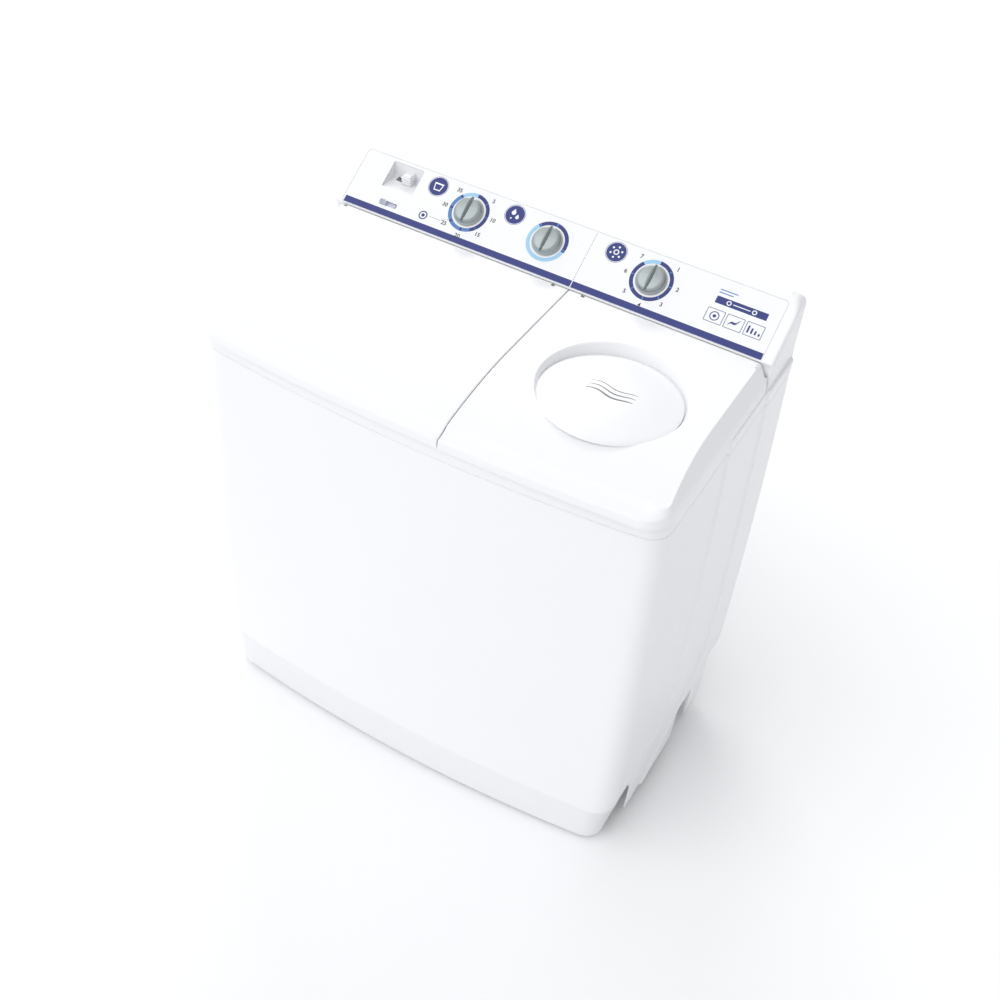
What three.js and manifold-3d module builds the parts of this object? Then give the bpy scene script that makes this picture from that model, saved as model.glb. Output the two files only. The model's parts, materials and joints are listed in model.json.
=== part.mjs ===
// A twin tub washer: a wash tub with a pulsator on the left, a spin basket on the right, and a sloping
// control housing along the back. Millimetres, +X to the right, +Y to the back, +Z up.
// The origin is on the floor, under the middle of the machine.
import * as THREE from 'three';
import { mergeVertices } from 'three/addons/utils/BufferGeometryUtils.js';
import Module from 'manifold-3d';

const wasm = await Module();
wasm.setup();

// ---------------------------------------------------------------- driving dimensions

const GAP = 0.4;
const SKIN = 3;
const BIG = 1200;
const DEGREES = Math.PI / 180;

const FOOT = { radius: 20, height: 8, stemRadius: 5, stemTop: 22, x: 400, front: -200, back: 175 };

// The cabinet's plan: a bowed front, and sides that step outwards twice on their way back.
const BODY = {
  half: 461,
  corner: 42,
  bow: 30,
  frontCorner: -257,
  rear: 291.5,
  rearCorner: 12,
  steps: [6, 171],
  stepOut: 4,
  stepRamp: 2,
  bottom: 120,
  top: 886.6,
  bulge: 9,
  bulgeAt: 370,
};

// The skirts are the two side panels' lower ends, which hang down outside the base.
const SKIRT = {
  inner: 463,
  bottom: 24,
  shoulder: 150,
  front: { outer: 473, from: -150, to: 66, shoulderFrom: -150, shoulderTo: 10 },
  back: { outer: 477, from: 140, to: 216, shoulderFrom: 88, shoulderTo: 176 },
};

const REAR_NOTCH = { front: 216, top: 148 };
const BACK_OPENING = { half: 395, bottom: 190, top: 850 };

const BASE = {
  half: 457,
  corner: 40,
  bow: 30,
  frontCorner: -256,
  rear: 213,
  rearCorner: 10,
  bottom: 8,
  top: 119.6,
  wall: 4,
  undercut: 8,
  taper: 0.014,
  archTop: 24,
  archFront: -208,
};

const FRAME = {
  bottom: 887,
  top: 916,
  deckBottom: 904,
  deckTop: 908,
  rim: 11,
  wall: 4,
  collar: 4,
  collarTop: 912,
};

const LID = {
  bottom: 919,
  seam: 60,
  seamGap: 1,
  half: 462.5,
  corner: 44,
  bow: 22,
  frontCorner: -274,
  rear: 161.5,
  top: 977,
  flatEnd: -60,
  crease: { y: -263, z: 951.5 },
  lip: { y: -295, z: 937.5 },
  topHalf: 445.5,
  shoulder: { half: 461, z: 940 },
  rearWall: 952,
};

const HINGE = {
  y: 153.5,
  z: 971,
  pinRadius: 2,
  holeRadius: 2.6,
  lugHalf: 3,
  lugRadius: 5,
  slotHalf: 4,
  pinHalf: 12,
  inset: 30,
  cheekLow: 962,
};

const DOME = {
  x: 260,
  y: -60,
  recessRadius: 134,
  radius: 127,
  forward: 7,
  floorZ: 960,
  tilt: 2.8,
  rim: 10,
  crown: 11,
};

// The panel's frame starts at the foot of the slope: x along the panel, y up the slope, z out of it.
const PANEL = { y: 160.6, z: 980.6, slope: 34 };

const HOUSING = {
  half: 463,
  bottom: 916.5,
  foot: 166,
  lipTop: 976,
  slopeLength: 129,
  top: 1056,
  rear: 295,
  topCorner: 24,
  rearCorner: 14,
};

const FASCIA = { left: -446, right: 440, bottom: 0, top: 122, thickness: 1 };

const DIALS = {
  wash: { x: -191.5, up: 69.5 },
  selector: { x: -21, up: 69.5 },
  spin: { x: 194.5, up: 69.5 },
};

const KNOB = { radius: 29.5, skirt: 4, height: 15, grip: 8, gripHalf: 5, gripReach: 27, shaftRadius: 3 };

const INLET = {
  left: -384,
  right: -315,
  bottom: 59,
  top: 116,
  depth: 52,
  wall: 2,
  nozzle: -345,
  nozzleHalf: 9,
  nozzleDepth: 20,
  nozzleHeight: 20,
};
const SLIDER = { x: -352, up: 28, slotHalf: 19, slotHeight: 5, travel: 22, thumbHalf: 7 };

const WASH = {
  x: -205,
  y: -50,
  halfX: 206,
  halfY: 182,
  corner: 82,
  floor: 400,
  top: 903.6,
  wall: 3,
  mouthInset: 6,
};
const SPIN = { x: 260, y: -60, outerRadius: 180, floor: 400, top: 903.6, wall: 3, mouth: 154 };
const COVER_TOP = FRAME.collarTop + GAP;
const COVER_HINGE = { y: SPIN.y + SPIN.mouth + 14, z: COVER_TOP + 2 };
const BASKET = { radius: 150, floor: 424, top: 790, wall: 2, lip: 142 };

const PULSATOR = { radius: 165, floor: 408, edge: 10, hub: 34, vanes: 6 };
const DRIVE = {
  beltLow: 243,
  beltHigh: 255,
  flange: 3,
  bigRadius: 95,
  smallRadius: 22,
  beltThickness: 5,
  shaftRadius: 8,
};
const WASH_MOTOR = { x: -55, y: 75, radius: 62, low: 105, high: 225, shaftRadius: 6, shaftTop: 262 };
const SPIN_MOTOR = { radius: 62, low: 112, high: 236, shaftRadius: 7 };
const BRAKE = { drumRadius: 55, low: 256, high: 286, padGap: 3, leverReach: 70, pinRadius: 3.4 };

const DRAIN = { x: -340, y: 60, bore: 17, pipeRadius: 14 };
const OUTLET = { x: 390, z: 80, radius: 18, bore: 15, length: 49 };
const GLAND = { x: -380, z: 945, flange: 12, neck: 8.4, bore: 4.5 };
const OVERFLOW = { y: -60, halfWidth: 50, depth: 20, low: 560, high: 860 };
const FILTER = { y: -50, halfWidth: 50, low: 620, high: 780, border: 12, bagDepth: 16 };

// ---------------------------------------------------------------- making and joining solids

function signedVolume(positions, index) {
  let volume = 0;
  const corner = [new THREE.Vector3(), new THREE.Vector3(), new THREE.Vector3()];
  for (let i = 0; i < index.length; i += 3) {
    corner.forEach((v, k) => v.fromArray(positions, index[i + k] * 3));
    volume += corner[0].dot(corner[1].cross(corner[2]));
  }
  return volume;
}

// A closed body whose vertices are shared and whose faces point out.
function toSolid(geometry) {
  const bare = geometry.clone();
  bare.deleteAttribute('normal');
  bare.deleteAttribute('uv');
  const merged = mergeVertices(bare, 1e-3);
  const positions = new Float32Array(merged.attributes.position.array);
  const index = new Uint32Array(merged.index.array);
  if (signedVolume(positions, index) < 0) {
    for (let i = 0; i < index.length; i += 3) {
      [index[i], index[i + 1]] = [index[i + 1], index[i]];
    }
  }
  const mesh = new wasm.Mesh({ numProp: 3, vertProperties: positions, triVerts: index });
  return new wasm.Manifold(mesh);
}

function fromSolid(solid) {
  const mesh = solid.getMesh();
  const geometry = new THREE.BufferGeometry();
  geometry.setAttribute('position', new THREE.BufferAttribute(new Float32Array(mesh.vertProperties), 3));
  geometry.setIndex(new THREE.BufferAttribute(new Uint32Array(mesh.triVerts), 1));
  return geometry;
}

function join(...pieces) {
  return fromSolid(pieces.map(toSolid).reduce((a, b) => a.add(b)));
}

function cut(base, ...tools) {
  return fromSolid(tools.map(toSolid).reduce((a, b) => a.subtract(b), toSolid(base)));
}

function common(...pieces) {
  return fromSolid(pieces.map(toSolid).reduce((a, b) => a.intersect(b)));
}

// ---------------------------------------------------------------- basic shapes

function block(x0, x1, y0, y1, z0, z1) {
  const geometry = new THREE.BoxGeometry(x1 - x0, y1 - y0, z1 - z0);
  return geometry.translate((x0 + x1) / 2, (y0 + y1) / 2, (z0 + z1) / 2);
}

function rod(x, y, z0, z1, radius, sides = 24) {
  const geometry = new THREE.CylinderGeometry(radius, radius, z1 - z0, sides);
  return geometry.rotateX(Math.PI / 2).translate(x, y, (z0 + z1) / 2);
}

function rodAlongX(x0, x1, y, z, radius, sides = 12) {
  const geometry = new THREE.CylinderGeometry(radius, radius, x1 - x0, sides);
  return geometry.rotateZ(Math.PI / 2).translate((x0 + x1) / 2, y, z);
}

function rodAlongY(x, y0, y1, z, radius, sides = 12) {
  return new THREE.CylinderGeometry(radius, radius, y1 - y0, sides).translate(x, (y0 + y1) / 2, z);
}

// A turned body: pairs of radius and height, round the vertical line through x, y.
function turned(x, y, profile, sides = 32) {
  const points = profile.map(([radius, height]) => new THREE.Vector2(radius, height));
  return new THREE.LatheGeometry(points, sides).rotateX(Math.PI / 2).translate(x, y, 0);
}

// A turned body whose profile is a closed loop clear of the axis.
function ring(x, y, profile, sides = 32) {
  return turned(x, y, [...profile, profile[0]], sides);
}

function slab(points, z0, z1, { hole = null, steps = 1 } = {}) {
  const shape = new THREE.Shape(points);
  if (hole) {
    shape.holes.push(new THREE.Path(hole));
  }
  const options = { depth: z1 - z0, bevelEnabled: false, steps };
  return new THREE.ExtrudeGeometry(shape, options).translate(0, 0, z0);
}

// A section drawn in the Y-Z plane and run along X.
function alongX(points, x0, x1, steps = 1) {
  const options = { depth: x1 - x0, bevelEnabled: false, steps };
  const geometry = new THREE.ExtrudeGeometry(new THREE.Shape(points), options);
  const toYZ = new THREE.Matrix4().makeBasis(
    new THREE.Vector3(0, 1, 0),
    new THREE.Vector3(0, 0, 1),
    new THREE.Vector3(1, 0, 0),
  );
  return geometry.applyMatrix4(toYZ).translate(x0, 0, 0);
}

// A section drawn in the X-Z plane and run along Y.
function alongY(points, y0, y1) {
  const options = { depth: y1 - y0, bevelEnabled: false };
  const geometry = new THREE.ExtrudeGeometry(new THREE.Shape(points), options);
  return geometry.rotateX(Math.PI / 2).translate(0, y1, 0);
}

function vec(x, y) {
  return new THREE.Vector2(x, y);
}

function bend(from, control, to, count = 4) {
  return new THREE.QuadraticBezierCurve(from, control, to).getPoints(count);
}

function roundedBox(x, y, halfX, halfY, radius, count = 4) {
  const points = [];
  const centres = [[1, 1], [-1, 1], [-1, -1], [1, -1]];
  centres.forEach(([sx, sy], quarter) => {
    for (let i = 0; i <= count; i++) {
      const angle = (quarter + i / count) * (Math.PI / 2);
      const cx = x + sx * (halfX - radius);
      const cy = y + sy * (halfY - radius);
      points.push(vec(cx + radius * Math.cos(angle), cy + radius * Math.sin(angle)));
    }
  });
  return points;
}

function circle(x, y, radius, sides = 32) {
  return Array.from({ length: sides }, (_, i) => {
    const angle = (i / sides) * 2 * Math.PI;
    return vec(x + radius * Math.cos(angle), y + radius * Math.sin(angle));
  });
}

// A tube along a curve through the points given, with a many-sided section.
function tube(points, radius, sides, steps) {
  const path = new THREE.CatmullRomCurve3(points.map((p) => new THREE.Vector3(...p)));
  const options = { steps, bevelEnabled: false, extrudePath: path };
  return new THREE.ExtrudeGeometry(new THREE.Shape(circle(0, 0, radius, sides)), options);
}

// Moves each vertex by a rule of its place.
function reshape(geometry, rule) {
  const place = geometry.attributes.position;
  const v = new THREE.Vector3();
  for (let i = 0; i < place.count; i++) {
    v.fromBufferAttribute(place, i);
    rule(v);
    place.setXYZ(i, v.x, v.y, v.z);
  }
  return geometry;
}

// ---------------------------------------------------------------- the plan outline

function frontLine(plan, x) {
  return plan.frontCorner - plan.bow * (1 - (x / plan.half) ** 2);
}

function planOutline(plan, inset = 0) {
  const half = plan.half - inset;
  const front = plan.frontCorner + inset;
  const rear = plan.rear - inset;
  const corner = plan.corner;
  const reach = half - corner;
  const bays = 4;
  const right = [];
  for (let i = 0; i <= bays; i++) {
    const x = (reach * i) / bays;
    right.push(vec(x, frontLine({ ...plan, frontCorner: front }, x)));
  }
  right.push(...bend(right.at(-1), vec(half, front), vec(half, front + corner)).slice(1));
  let out = 0;
  for (const y of plan.steps ?? []) {
    right.push(vec(half + out, y - plan.stepRamp));
    out += plan.stepOut;
    right.push(vec(half + out, y + plan.stepRamp));
  }
  const side = half + out;
  const rearRound = plan.rearCorner;
  right.push(...bend(vec(side, rear - rearRound), vec(side, rear), vec(side - rearRound, rear), 3));
  const left = right.slice(1).reverse().map((p) => vec(-p.x, p.y));
  return [...right, ...left];
}

// ---------------------------------------------------------------- finishes

function finish(color, roughness, metalness = 0) {
  return { color, roughness, metalness };
}

const WHITE = finish('#f3f4f6', 0.28);
const LIGHT_GREY = finish('#dfe1e4', 0.4);
const TUB_WHITE = finish('#e9ecee', 0.35);
const FASCIA_WHITE = finish('#f8f8fa', 0.3);
const SILVER = finish('#b9c0bd', 0.35, 0.4);
const STEEL = finish('#a9adb2', 0.35, 0.9);
const ZINC = finish('#8f959b', 0.5, 0.8);
const MOTOR_GREY = finish('#6a7078', 0.55, 0.6);
const BLACK_RUBBER = finish('#232427', 0.85);
const BLUE_PLASTIC = finish('#7fa6cf', 0.4);
const DARK_PLASTIC = finish('#3a3d42', 0.6);

const washer = new THREE.Group();

function place(name, geometry, look, parent = washer) {
  const mesh = new THREE.Mesh(geometry, new THREE.MeshStandardMaterial(look));
  mesh.name = name;
  parent.add(mesh);
  return mesh;
}

// ---------------------------------------------------------------- cabinet, base and feet

// The side walls swell slightly at mid height.
function bulged(v) {
  const reach = BODY.top - BODY.bulgeAt;
  const rise = 1 - ((v.z - BODY.bulgeAt) / reach) ** 2;
  v.x *= 1 + (BODY.bulge * rise) / BODY.half;
}

// The four walls as one moulding, with the side skirts, the rear notch and the service opening.
function cabinetShell() {
  const levels = 3;
  const walls = slab(planOutline(BODY), BODY.bottom, BODY.top, {
    hole: planOutline(BODY, SKIN),
    steps: levels,
  });
  const skirts = [];
  for (const side of [-1, 1]) {
    for (const panel of [SKIRT.front, SKIRT.back]) {
      const near = side * SKIRT.inner;
      const far = side * panel.outer;
      const [x0, x1] = [Math.min(near, far), Math.max(near, far)];
      skirts.push(block(x0, x1, panel.from, panel.to, SKIRT.bottom, BODY.bottom + SKIN));
      skirts.push(block(x0, x1, panel.shoulderFrom, panel.shoulderTo, BODY.bottom, SKIRT.shoulder));
    }
  }
  const shell = join(reshape(walls, bulged), ...skirts);
  const opening = BACK_OPENING;
  return cut(
    shell,
    block(-BIG, BIG, REAR_NOTCH.front + GAP, BIG, 0, REAR_NOTCH.top),
    block(-opening.half, opening.half, BODY.rear - 2 * SKIN, BIG, opening.bottom, opening.top),
    ...screwHoles(),
  );
}

// A tray that everything stands on, with a riser and a shelf closing the notch behind it.
function baseFrame() {
  const undercut = (v) => {
    const drop = (BASE.top - v.z) / (BASE.top - BASE.bottom);
    v.x *= 1 - BASE.taper * drop;
    if (v.y < 0) {
      v.y += BASE.undercut * drop;
    }
  };
  const tray = reshape(slab(planOutline(BASE), BASE.bottom, BASE.top), undercut);
  const inside = reshape(slab(planOutline(BASE, BASE.wall), BASE.bottom + BASE.wall, BASE.top + 2), undercut);
  const floorHole = slab(roundedBox(-260, -10, 120, 140, 30), 0, 60);
  const arches = [-1, 1].map((side) => {
    const edge = side * (BASE.half - 17);
    const outside = side * BIG;
    const [x0, x1] = [Math.min(edge, outside), Math.max(edge, outside)];
    return block(x0, x1, BASE.archFront, BIG, 0, BASE.archTop);
  });
  const stemHoles = footPlaces().map(([, x, y]) => rod(x, y, 0, 60, FOOT.stemRadius + 1, 16));
  const wide = BASE.half - 11;
  const wallFront = BASE.rear - BASE.wall;
  const shelfTop = REAR_NOTCH.top + SKIN + 1;
  const riser = block(-wide, wide, wallFront, BASE.rear, BASE.bottom + 2, shelfTop);
  const shelf = block(-wide, wide, wallFront, BODY.rear - SKIN - 1.5, REAR_NOTCH.top + 1, shelfTop);
  const drainWay = rodAlongY(OUTLET.x, wallFront - 5, BASE.rear + 5, OUTLET.z, OUTLET.bore + 1, 16);
  return cut(join(cut(tray, inside, floorHole, ...arches, ...stemHoles), riser, shelf), drainWay);
}

function footPlaces() {
  return [
    ['foot_front_left', -FOOT.x, FOOT.front],
    ['foot_front_right', FOOT.x, FOOT.front],
    ['foot_rear_left', -FOOT.x, FOOT.back],
    ['foot_rear_right', FOOT.x, FOOT.back],
  ];
}

// A rubber pad with a stem pushed up into the base.
function foot(x, y) {
  const pad = FOOT.height - GAP;
  return turned(x, y, [
    [0, 0],
    [FOOT.radius - 2, 0],
    [FOOT.radius, 2],
    [FOOT.radius, pad],
    [FOOT.stemRadius, pad],
    [FOOT.stemRadius, FOOT.stemTop],
    [0, FOOT.stemTop],
  ], 14);
}

// ---------------------------------------------------------------- top frame

function washOutline(inset) {
  return roundedBox(WASH.x, WASH.y, WASH.halfX - inset, WASH.halfY - inset, WASH.corner - inset);
}

// The deck round both tubs' mouths, which the lids close on and the control housing stands on.
function topFrame() {
  const plan = { ...BODY, rear: HOUSING.rear - 1 };
  const blank = slab(planOutline(plan), FRAME.bottom, FRAME.top);
  const below = slab(planOutline(plan, FRAME.wall), 0, FRAME.deckBottom);
  const trayPlan = { ...BODY, rear: HOUSING.foot - 2, steps: [] };
  const above = slab(planOutline(trayPlan, FRAME.rim), FRAME.deckTop, BIG);
  const washMouth = washOutline(WASH.mouthInset);
  const spinMouth = circle(SPIN.x, SPIN.y, SPIN.mouth);
  const wayMiddle = (HOUSING.foot + HOUSING.rear) / 2 + 0.5;
  const deck = cut(
    blank,
    below,
    above,
    slab(washMouth, 0, BIG),
    slab(spinMouth, 0, BIG),
    slab(roundedBox(0, wayMiddle, 425, 42, 12, 3), 0, BIG),
  );
  const washRim = washOutline(WASH.mouthInset - FRAME.collar);
  const washCollar = slab(washRim, FRAME.deckBottom + 1, FRAME.collarTop, { hole: washMouth });
  const spinRim = circle(SPIN.x, SPIN.y, SPIN.mouth + FRAME.collar);
  const spinCollar = slab(spinRim, FRAME.deckBottom + 1, FRAME.collarTop, { hole: spinMouth });
  return join(deck, washCollar, spinCollar, ...coverHingeEars());
}

// Two ears behind the spin tub's mouth, which hold the safety cover's stub pins.
function coverHingeEars() {
  return [-1, 1].map((side) => {
    const middle = SPIN.x + side * 45;
    const { y, z } = COVER_HINGE;
    const ear = block(middle - 3, middle + 3, y - 5, y + 5, FRAME.deckBottom + 1, z + 2);
    const cap = rodAlongX(middle - 3, middle + 3, y, z, 4.6, 12);
    return cut(join(ear, cap), rodAlongX(middle - 9, middle + 9, y, z, 2.8, 12));
  });
}

// ---------------------------------------------------------------- lids

function lidSection(inset, bottom) {
  const top = LID.top - inset;
  const lipY = LID.lip.y + inset;
  const crease = vec(LID.crease.y + inset * 0.4, LID.crease.z - inset);
  const crownControl = vec(crease.x + 102, top);
  return [
    vec(LID.rear - inset, bottom),
    vec(LID.rear - inset, top),
    ...bend(vec(LID.flatEnd, top), crownControl, crease, 4),
    vec(lipY + 2, LID.lip.z - inset * 0.6),
    vec(lipY, LID.lip.z - 3),
    vec(lipY, bottom),
  ];
}

// The crowned body that both lids are parts of, with every face moved in by inset.
function lidBody(inset, bottom) {
  const half = LID.half - inset;
  const crown = reshape(alongX(lidSection(inset, bottom), -half, half, 8), (v) => {
    const forward = Math.min(Math.max(v.y / LID.lip.y, 0), 1);
    v.y += LID.bow * (v.x / LID.half) ** 2 * forward;
  });
  const plan = { ...LID, rear: BIG, rearCorner: 1, frontCorner: LID.frontCorner - 1 };
  const ends = [1, -1].flatMap((side) => {
    const points = [
      vec(side * half, bottom - 1),
      vec(side * (LID.shoulder.half - inset), LID.shoulder.z),
      vec(side * (LID.topHalf - inset), LID.top + 1 - inset),
      vec(side * (LID.topHalf - inset), BIG),
    ];
    return side > 0 ? points : points.reverse();
  });
  return common(crown, slab(planOutline(plan, inset), 0, BIG), alongY(ends, -BIG, BIG));
}

// Each lid has a hinge near each of its ends.
function lidHinges(x0, x1) {
  return [x0 + HINGE.inset, x1 - HINGE.inset];
}

function lidSpan(side) {
  const near = LID.seam + side * LID.seamGap;
  return side < 0 ? [-LID.half, near] : [near, LID.half];
}

// One lid: its part of the body, hollow below, open at the back under the hinge, with cheeks for the pins.
function lidShell(side) {
  const [x0, x1] = lidSpan(side);
  const outer = common(lidBody(0, LID.bottom), block(x0, x1, -BIG, BIG, 0, BIG));
  const hollow = common(lidBody(SKIN, -10), block(x0 + SKIN, x1 - SKIN, -BIG, BIG, -20, BIG));
  const rearCut = block(x0 - 1, x1 + 1, LID.rear - 2 * SKIN, BIG, 0, LID.rearWall);
  const cheeks = [];
  const slots = [];
  for (const x of lidHinges(x0, x1)) {
    const { y, z, pinHalf, slotHalf, holeRadius, cheekLow } = HINGE;
    cheeks.push(block(x - pinHalf + 2, x + pinHalf - 2, y - 6, LID.rear - 1, cheekLow, LID.top - 1));
    slots.push(block(x - slotHalf, x + slotHalf, y - 7, BIG, 0, LID.top - 1));
    slots.push(block(x - slotHalf, x + slotHalf, y, BIG, 0, BIG));
    slots.push(rodAlongX(x - pinHalf - GAP, x + pinHalf + GAP, y, z, holeRadius));
  }
  return cut(join(cut(outer, hollow), ...cheeks), rearCut, ...slots);
}

// The rod that a lid turns on runs the whole way between its two outer cheeks.
function hingeRod(side) {
  const [left, right] = lidHinges(...lidSpan(side));
  return rodAlongX(left - HINGE.pinHalf, right + HINGE.pinHalf, HINGE.y, HINGE.z, HINGE.pinRadius, 8);
}

// The sloping floor of the round recess in the spin lid, deepest at the back.
function onRecessFloor(geometry) {
  return geometry.rotateX(-DOME.tilt * DEGREES).translate(DOME.x, DOME.y, DOME.floorZ);
}

function spinLid() {
  const pocket = onRecessFloor(rod(0, 0, 0, 80, DOME.recessRadius, 28));
  const pan = onRecessFloor(rod(0, 0, -SKIN, 60, DOME.recessRadius + SKIN, 28));
  const under = common(pan, lidBody(1, LID.bottom));
  const vents = [-80, -40, 0, 40, 80].map((x) => onRecessFloor(block(x - 12, x + 12, 30, 42, -20, 20)));
  return cut(join(lidShell(1), under), pocket, ...vents);
}

function spinLidDome() {
  const { radius, rim, crown } = DOME;
  const profile = [[0, GAP], [radius - 6, GAP], [radius - 1, 3], [radius, rim - 3]];
  const hollow = [[0, GAP - 5], [radius - 9, GAP - 5], [radius - 5, rim - 4]];
  const rings = 3;
  for (let i = 0; i <= rings; i++) {
    const r = (radius - 3) * (1 - i / rings);
    const height = rim + crown * (1 - (r / radius) ** 2);
    profile.push([r, height]);
    hollow.push([Math.max(r - 4, 0), height - SKIN]);
  }
  hollow.pop();
  hollow.push([0, rim + crown - SKIN]);
  const sides = 28;
  const dome = cut(turned(0, -DOME.forward, profile, sides), turned(0, -DOME.forward, hollow, sides));
  return onRecessFloor(dome);
}

// ---------------------------------------------------------------- control housing

const panelPlace = new THREE.Matrix4()
  .makeTranslation(0, PANEL.y, PANEL.z)
  .multiply(new THREE.Matrix4().makeRotationX(PANEL.slope * DEGREES));

function onPanel(geometry) {
  return geometry.applyMatrix4(panelPlace);
}

function housingSection(inset) {
  const length = HOUSING.slopeLength;
  const run = length * Math.cos(PANEL.slope * DEGREES);
  const rise = length * Math.sin(PANEL.slope * DEGREES);
  const foot = HOUSING.foot + inset;
  const slopeFoot = vec(PANEL.y + inset * 1.9, PANEL.z - inset * 0.1);
  const slopeEnd = vec(PANEL.y + run, PANEL.z + rise - inset * 1.2);
  const rear = HOUSING.rear - inset;
  const top = HOUSING.top - inset;
  return [
    vec(foot, HOUSING.bottom - (inset ? BIG : 0)),
    vec(foot, HOUSING.lipTop - 6),
    slopeFoot,
    ...bend(slopeEnd, vec(slopeEnd.x + 6, top), vec(slopeEnd.x + 14, top), 3),
    ...bend(vec(rear - 10, top), vec(rear, top), vec(rear, top - 12), 3),
    vec(rear, HOUSING.bottom - (inset ? BIG : 0)),
  ];
}

function housingBody(inset) {
  const half = HOUSING.half - inset;
  const long = alongX(housingSection(inset).reverse(), -half, half);
  const r = HOUSING.topCorner;
  const top = HOUSING.top + 1;
  const right = [vec(half, -BIG), ...bend(vec(half, top - r), vec(half, top), vec(half - r, top), 5)];
  const left = [...right].reverse().map((p) => vec(-p.x, p.y));
  const plan = roundedBox(0, 0, half, HOUSING.rear - inset, HOUSING.rearCorner, 3);
  return common(long, alongY([...right, ...left], 0, BIG), slab(plan, -BIG, BIG));
}

function panelOpenings(low, high) {
  const shafts = Object.values(DIALS).map(({ x, up }) => rod(x, up, low, high, 7, 16));
  const inlet = block(INLET.left, INLET.right, INLET.bottom, INLET.top, low, high);
  const { x, up, slotHalf, slotHeight } = SLIDER;
  const slot = block(x - slotHalf, x + slotHalf, up - slotHeight, up + slotHeight, low, high);
  return [...shafts, inlet, slot];
}

// The housing is open below and carries the dials, the inlet and the lids' hinge lugs.
function controlHousing() {
  const recess = block(
    FASCIA.left - 1,
    FASCIA.right + 1,
    FASCIA.bottom + 1,
    FASCIA.top + 1,
    -FASCIA.thickness - GAP,
    20,
  );
  const hollow = housingBody(SKIN);
  const { y, z, lugHalf, lugRadius, holeRadius } = HINGE;
  const hinges = [-1, 1].flatMap((side) => lidHinges(...lidSpan(side)));
  const lugs = hinges.map((x) => {
    const ear = rodAlongX(x - lugHalf, x + lugHalf, y, z - 1, lugRadius);
    const arm = block(x - lugHalf, x + lugHalf, y, HOUSING.foot + 1, z - 9, z - 2);
    return join(ear, arm);
  });
  const bores = hinges.map((x) => rodAlongX(x - 8, x + 8, y, z, holeRadius));
  const shell = cut(housingBody(0), hollow, onPanel(recess), ...panelOpenings(-40, 20).map(onPanel));
  const gland = rodAlongY(GLAND.x, HOUSING.rear - 15, HOUSING.rear + 15, GLAND.z, GLAND.neck + 0.6, 16);
  return cut(join(shell, ...lugs), ...bores, gland);
}

// The printed sheet laid in a shallow recess in the slope.
function controlFascia() {
  const { left, right, bottom, top, thickness } = FASCIA;
  const sheet = slab(
    roundedBox((left + right) / 2, (bottom + top) / 2 + 1, (right - left) / 2, (top - bottom) / 2 - 1, 8, 3),
    -thickness,
    0,
  );
  return cut(sheet, ...panelOpenings(-10, 10));
}

// ---------------------------------------------------------------- things on the panel

const panelGroup = new THREE.Group();
panelGroup.position.set(0, PANEL.y, PANEL.z);
panelGroup.rotation.x = PANEL.slope * DEGREES;
washer.add(panelGroup);

// A round cap with a raised grip bar that points up the slope.
function knob() {
  const { radius, skirt, height, grip, gripHalf, gripReach, shaftRadius } = KNOB;
  const low = 0.8;
  const cap = turned(0, 0, [
    [0, low],
    [radius, low],
    [radius, skirt],
    [radius - 2, skirt + 2],
    [radius - 4, height - 1],
    [radius - 7, height + 1],
    [0, height + 2],
  ], 18);
  const bar = slab([
    vec(-gripHalf, -gripReach + 3),
    vec(0, -gripReach),
    vec(gripHalf, -gripReach + 3),
    vec(gripHalf, gripReach - 8),
    vec(0, gripReach),
    vec(-gripHalf, gripReach - 8),
  ], height - 4, height + grip);
  const bore = rod(0, 0, 0, height, shaftRadius + GAP, 12);
  return cut(join(cap, bar), bore);
}

function dialShaft() {
  return rod(0, 0, -24, KNOB.height - 2, KNOB.shaftRadius, 12);
}

// A clockwork timer or switch behind the panel, with ears and a neck round its shaft.
function timerCase(halfX, halfY, depth) {
  const low = -SKIN - 2;
  const box = block(-halfX, halfX, -halfY, halfY, low - depth, low);
  const neck = rod(0, 0, low - 1, -1.2 - GAP, 6, 16);
  const ears = block(-halfX - 9, halfX + 9, -8, 8, low - 2, low);
  return cut(join(box, neck, ears), rod(0, 0, -28, 5, KNOB.shaftRadius + GAP, 12));
}

// A place in the Y-Z plane as the panel's own measures: up its slope and out from its face.
function panelMeasures(y, z) {
  const across = y - PANEL.y;
  const rise = z - PANEL.z;
  const cosine = Math.cos(PANEL.slope * DEGREES);
  const sine = Math.sin(PANEL.slope * DEGREES);
  return vec(across * cosine + rise * sine, rise * cosine - across * sine);
}

function inletFloor() {
  return PANEL.z + INLET.bottom * Math.sin(PANEL.slope * DEGREES);
}

function inletBack() {
  return PANEL.y + INLET.top * Math.cos(PANEL.slope * DEGREES);
}

// The notch behind the panel that takes the fill water, with a level floor, an upright back and a spout.
function inletFunnel() {
  const { left, right, bottom, top, depth, wall } = INLET;
  const high = -SKIN - GAP - 1;
  const corner = panelMeasures(inletBack(), inletFloor());
  const outer = [
    vec(bottom - wall, high),
    vec(bottom - wall, high - 1),
    vec(corner.x - wall, corner.y - 2 * wall),
    vec(corner.x + wall, corner.y - 2 * wall),
    vec(top + wall, high - 1),
    vec(top + wall, high),
  ];
  const inner = [vec(bottom, wall), vec(bottom, 0), corner, vec(top, 0), vec(top, wall)];
  const body = alongX(outer, left - wall, right + wall);
  const spout = block(left + 8, left + 30, corner.x - 14, corner.x + wall, -depth, corner.y - wall);
  const channel = block(left + 10, left + 28, corner.x - 12, corner.x, -depth - 1, 0);
  return join(cut(join(body, spout), alongX(inner, left, right), channel), inletNozzle());
}

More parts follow.
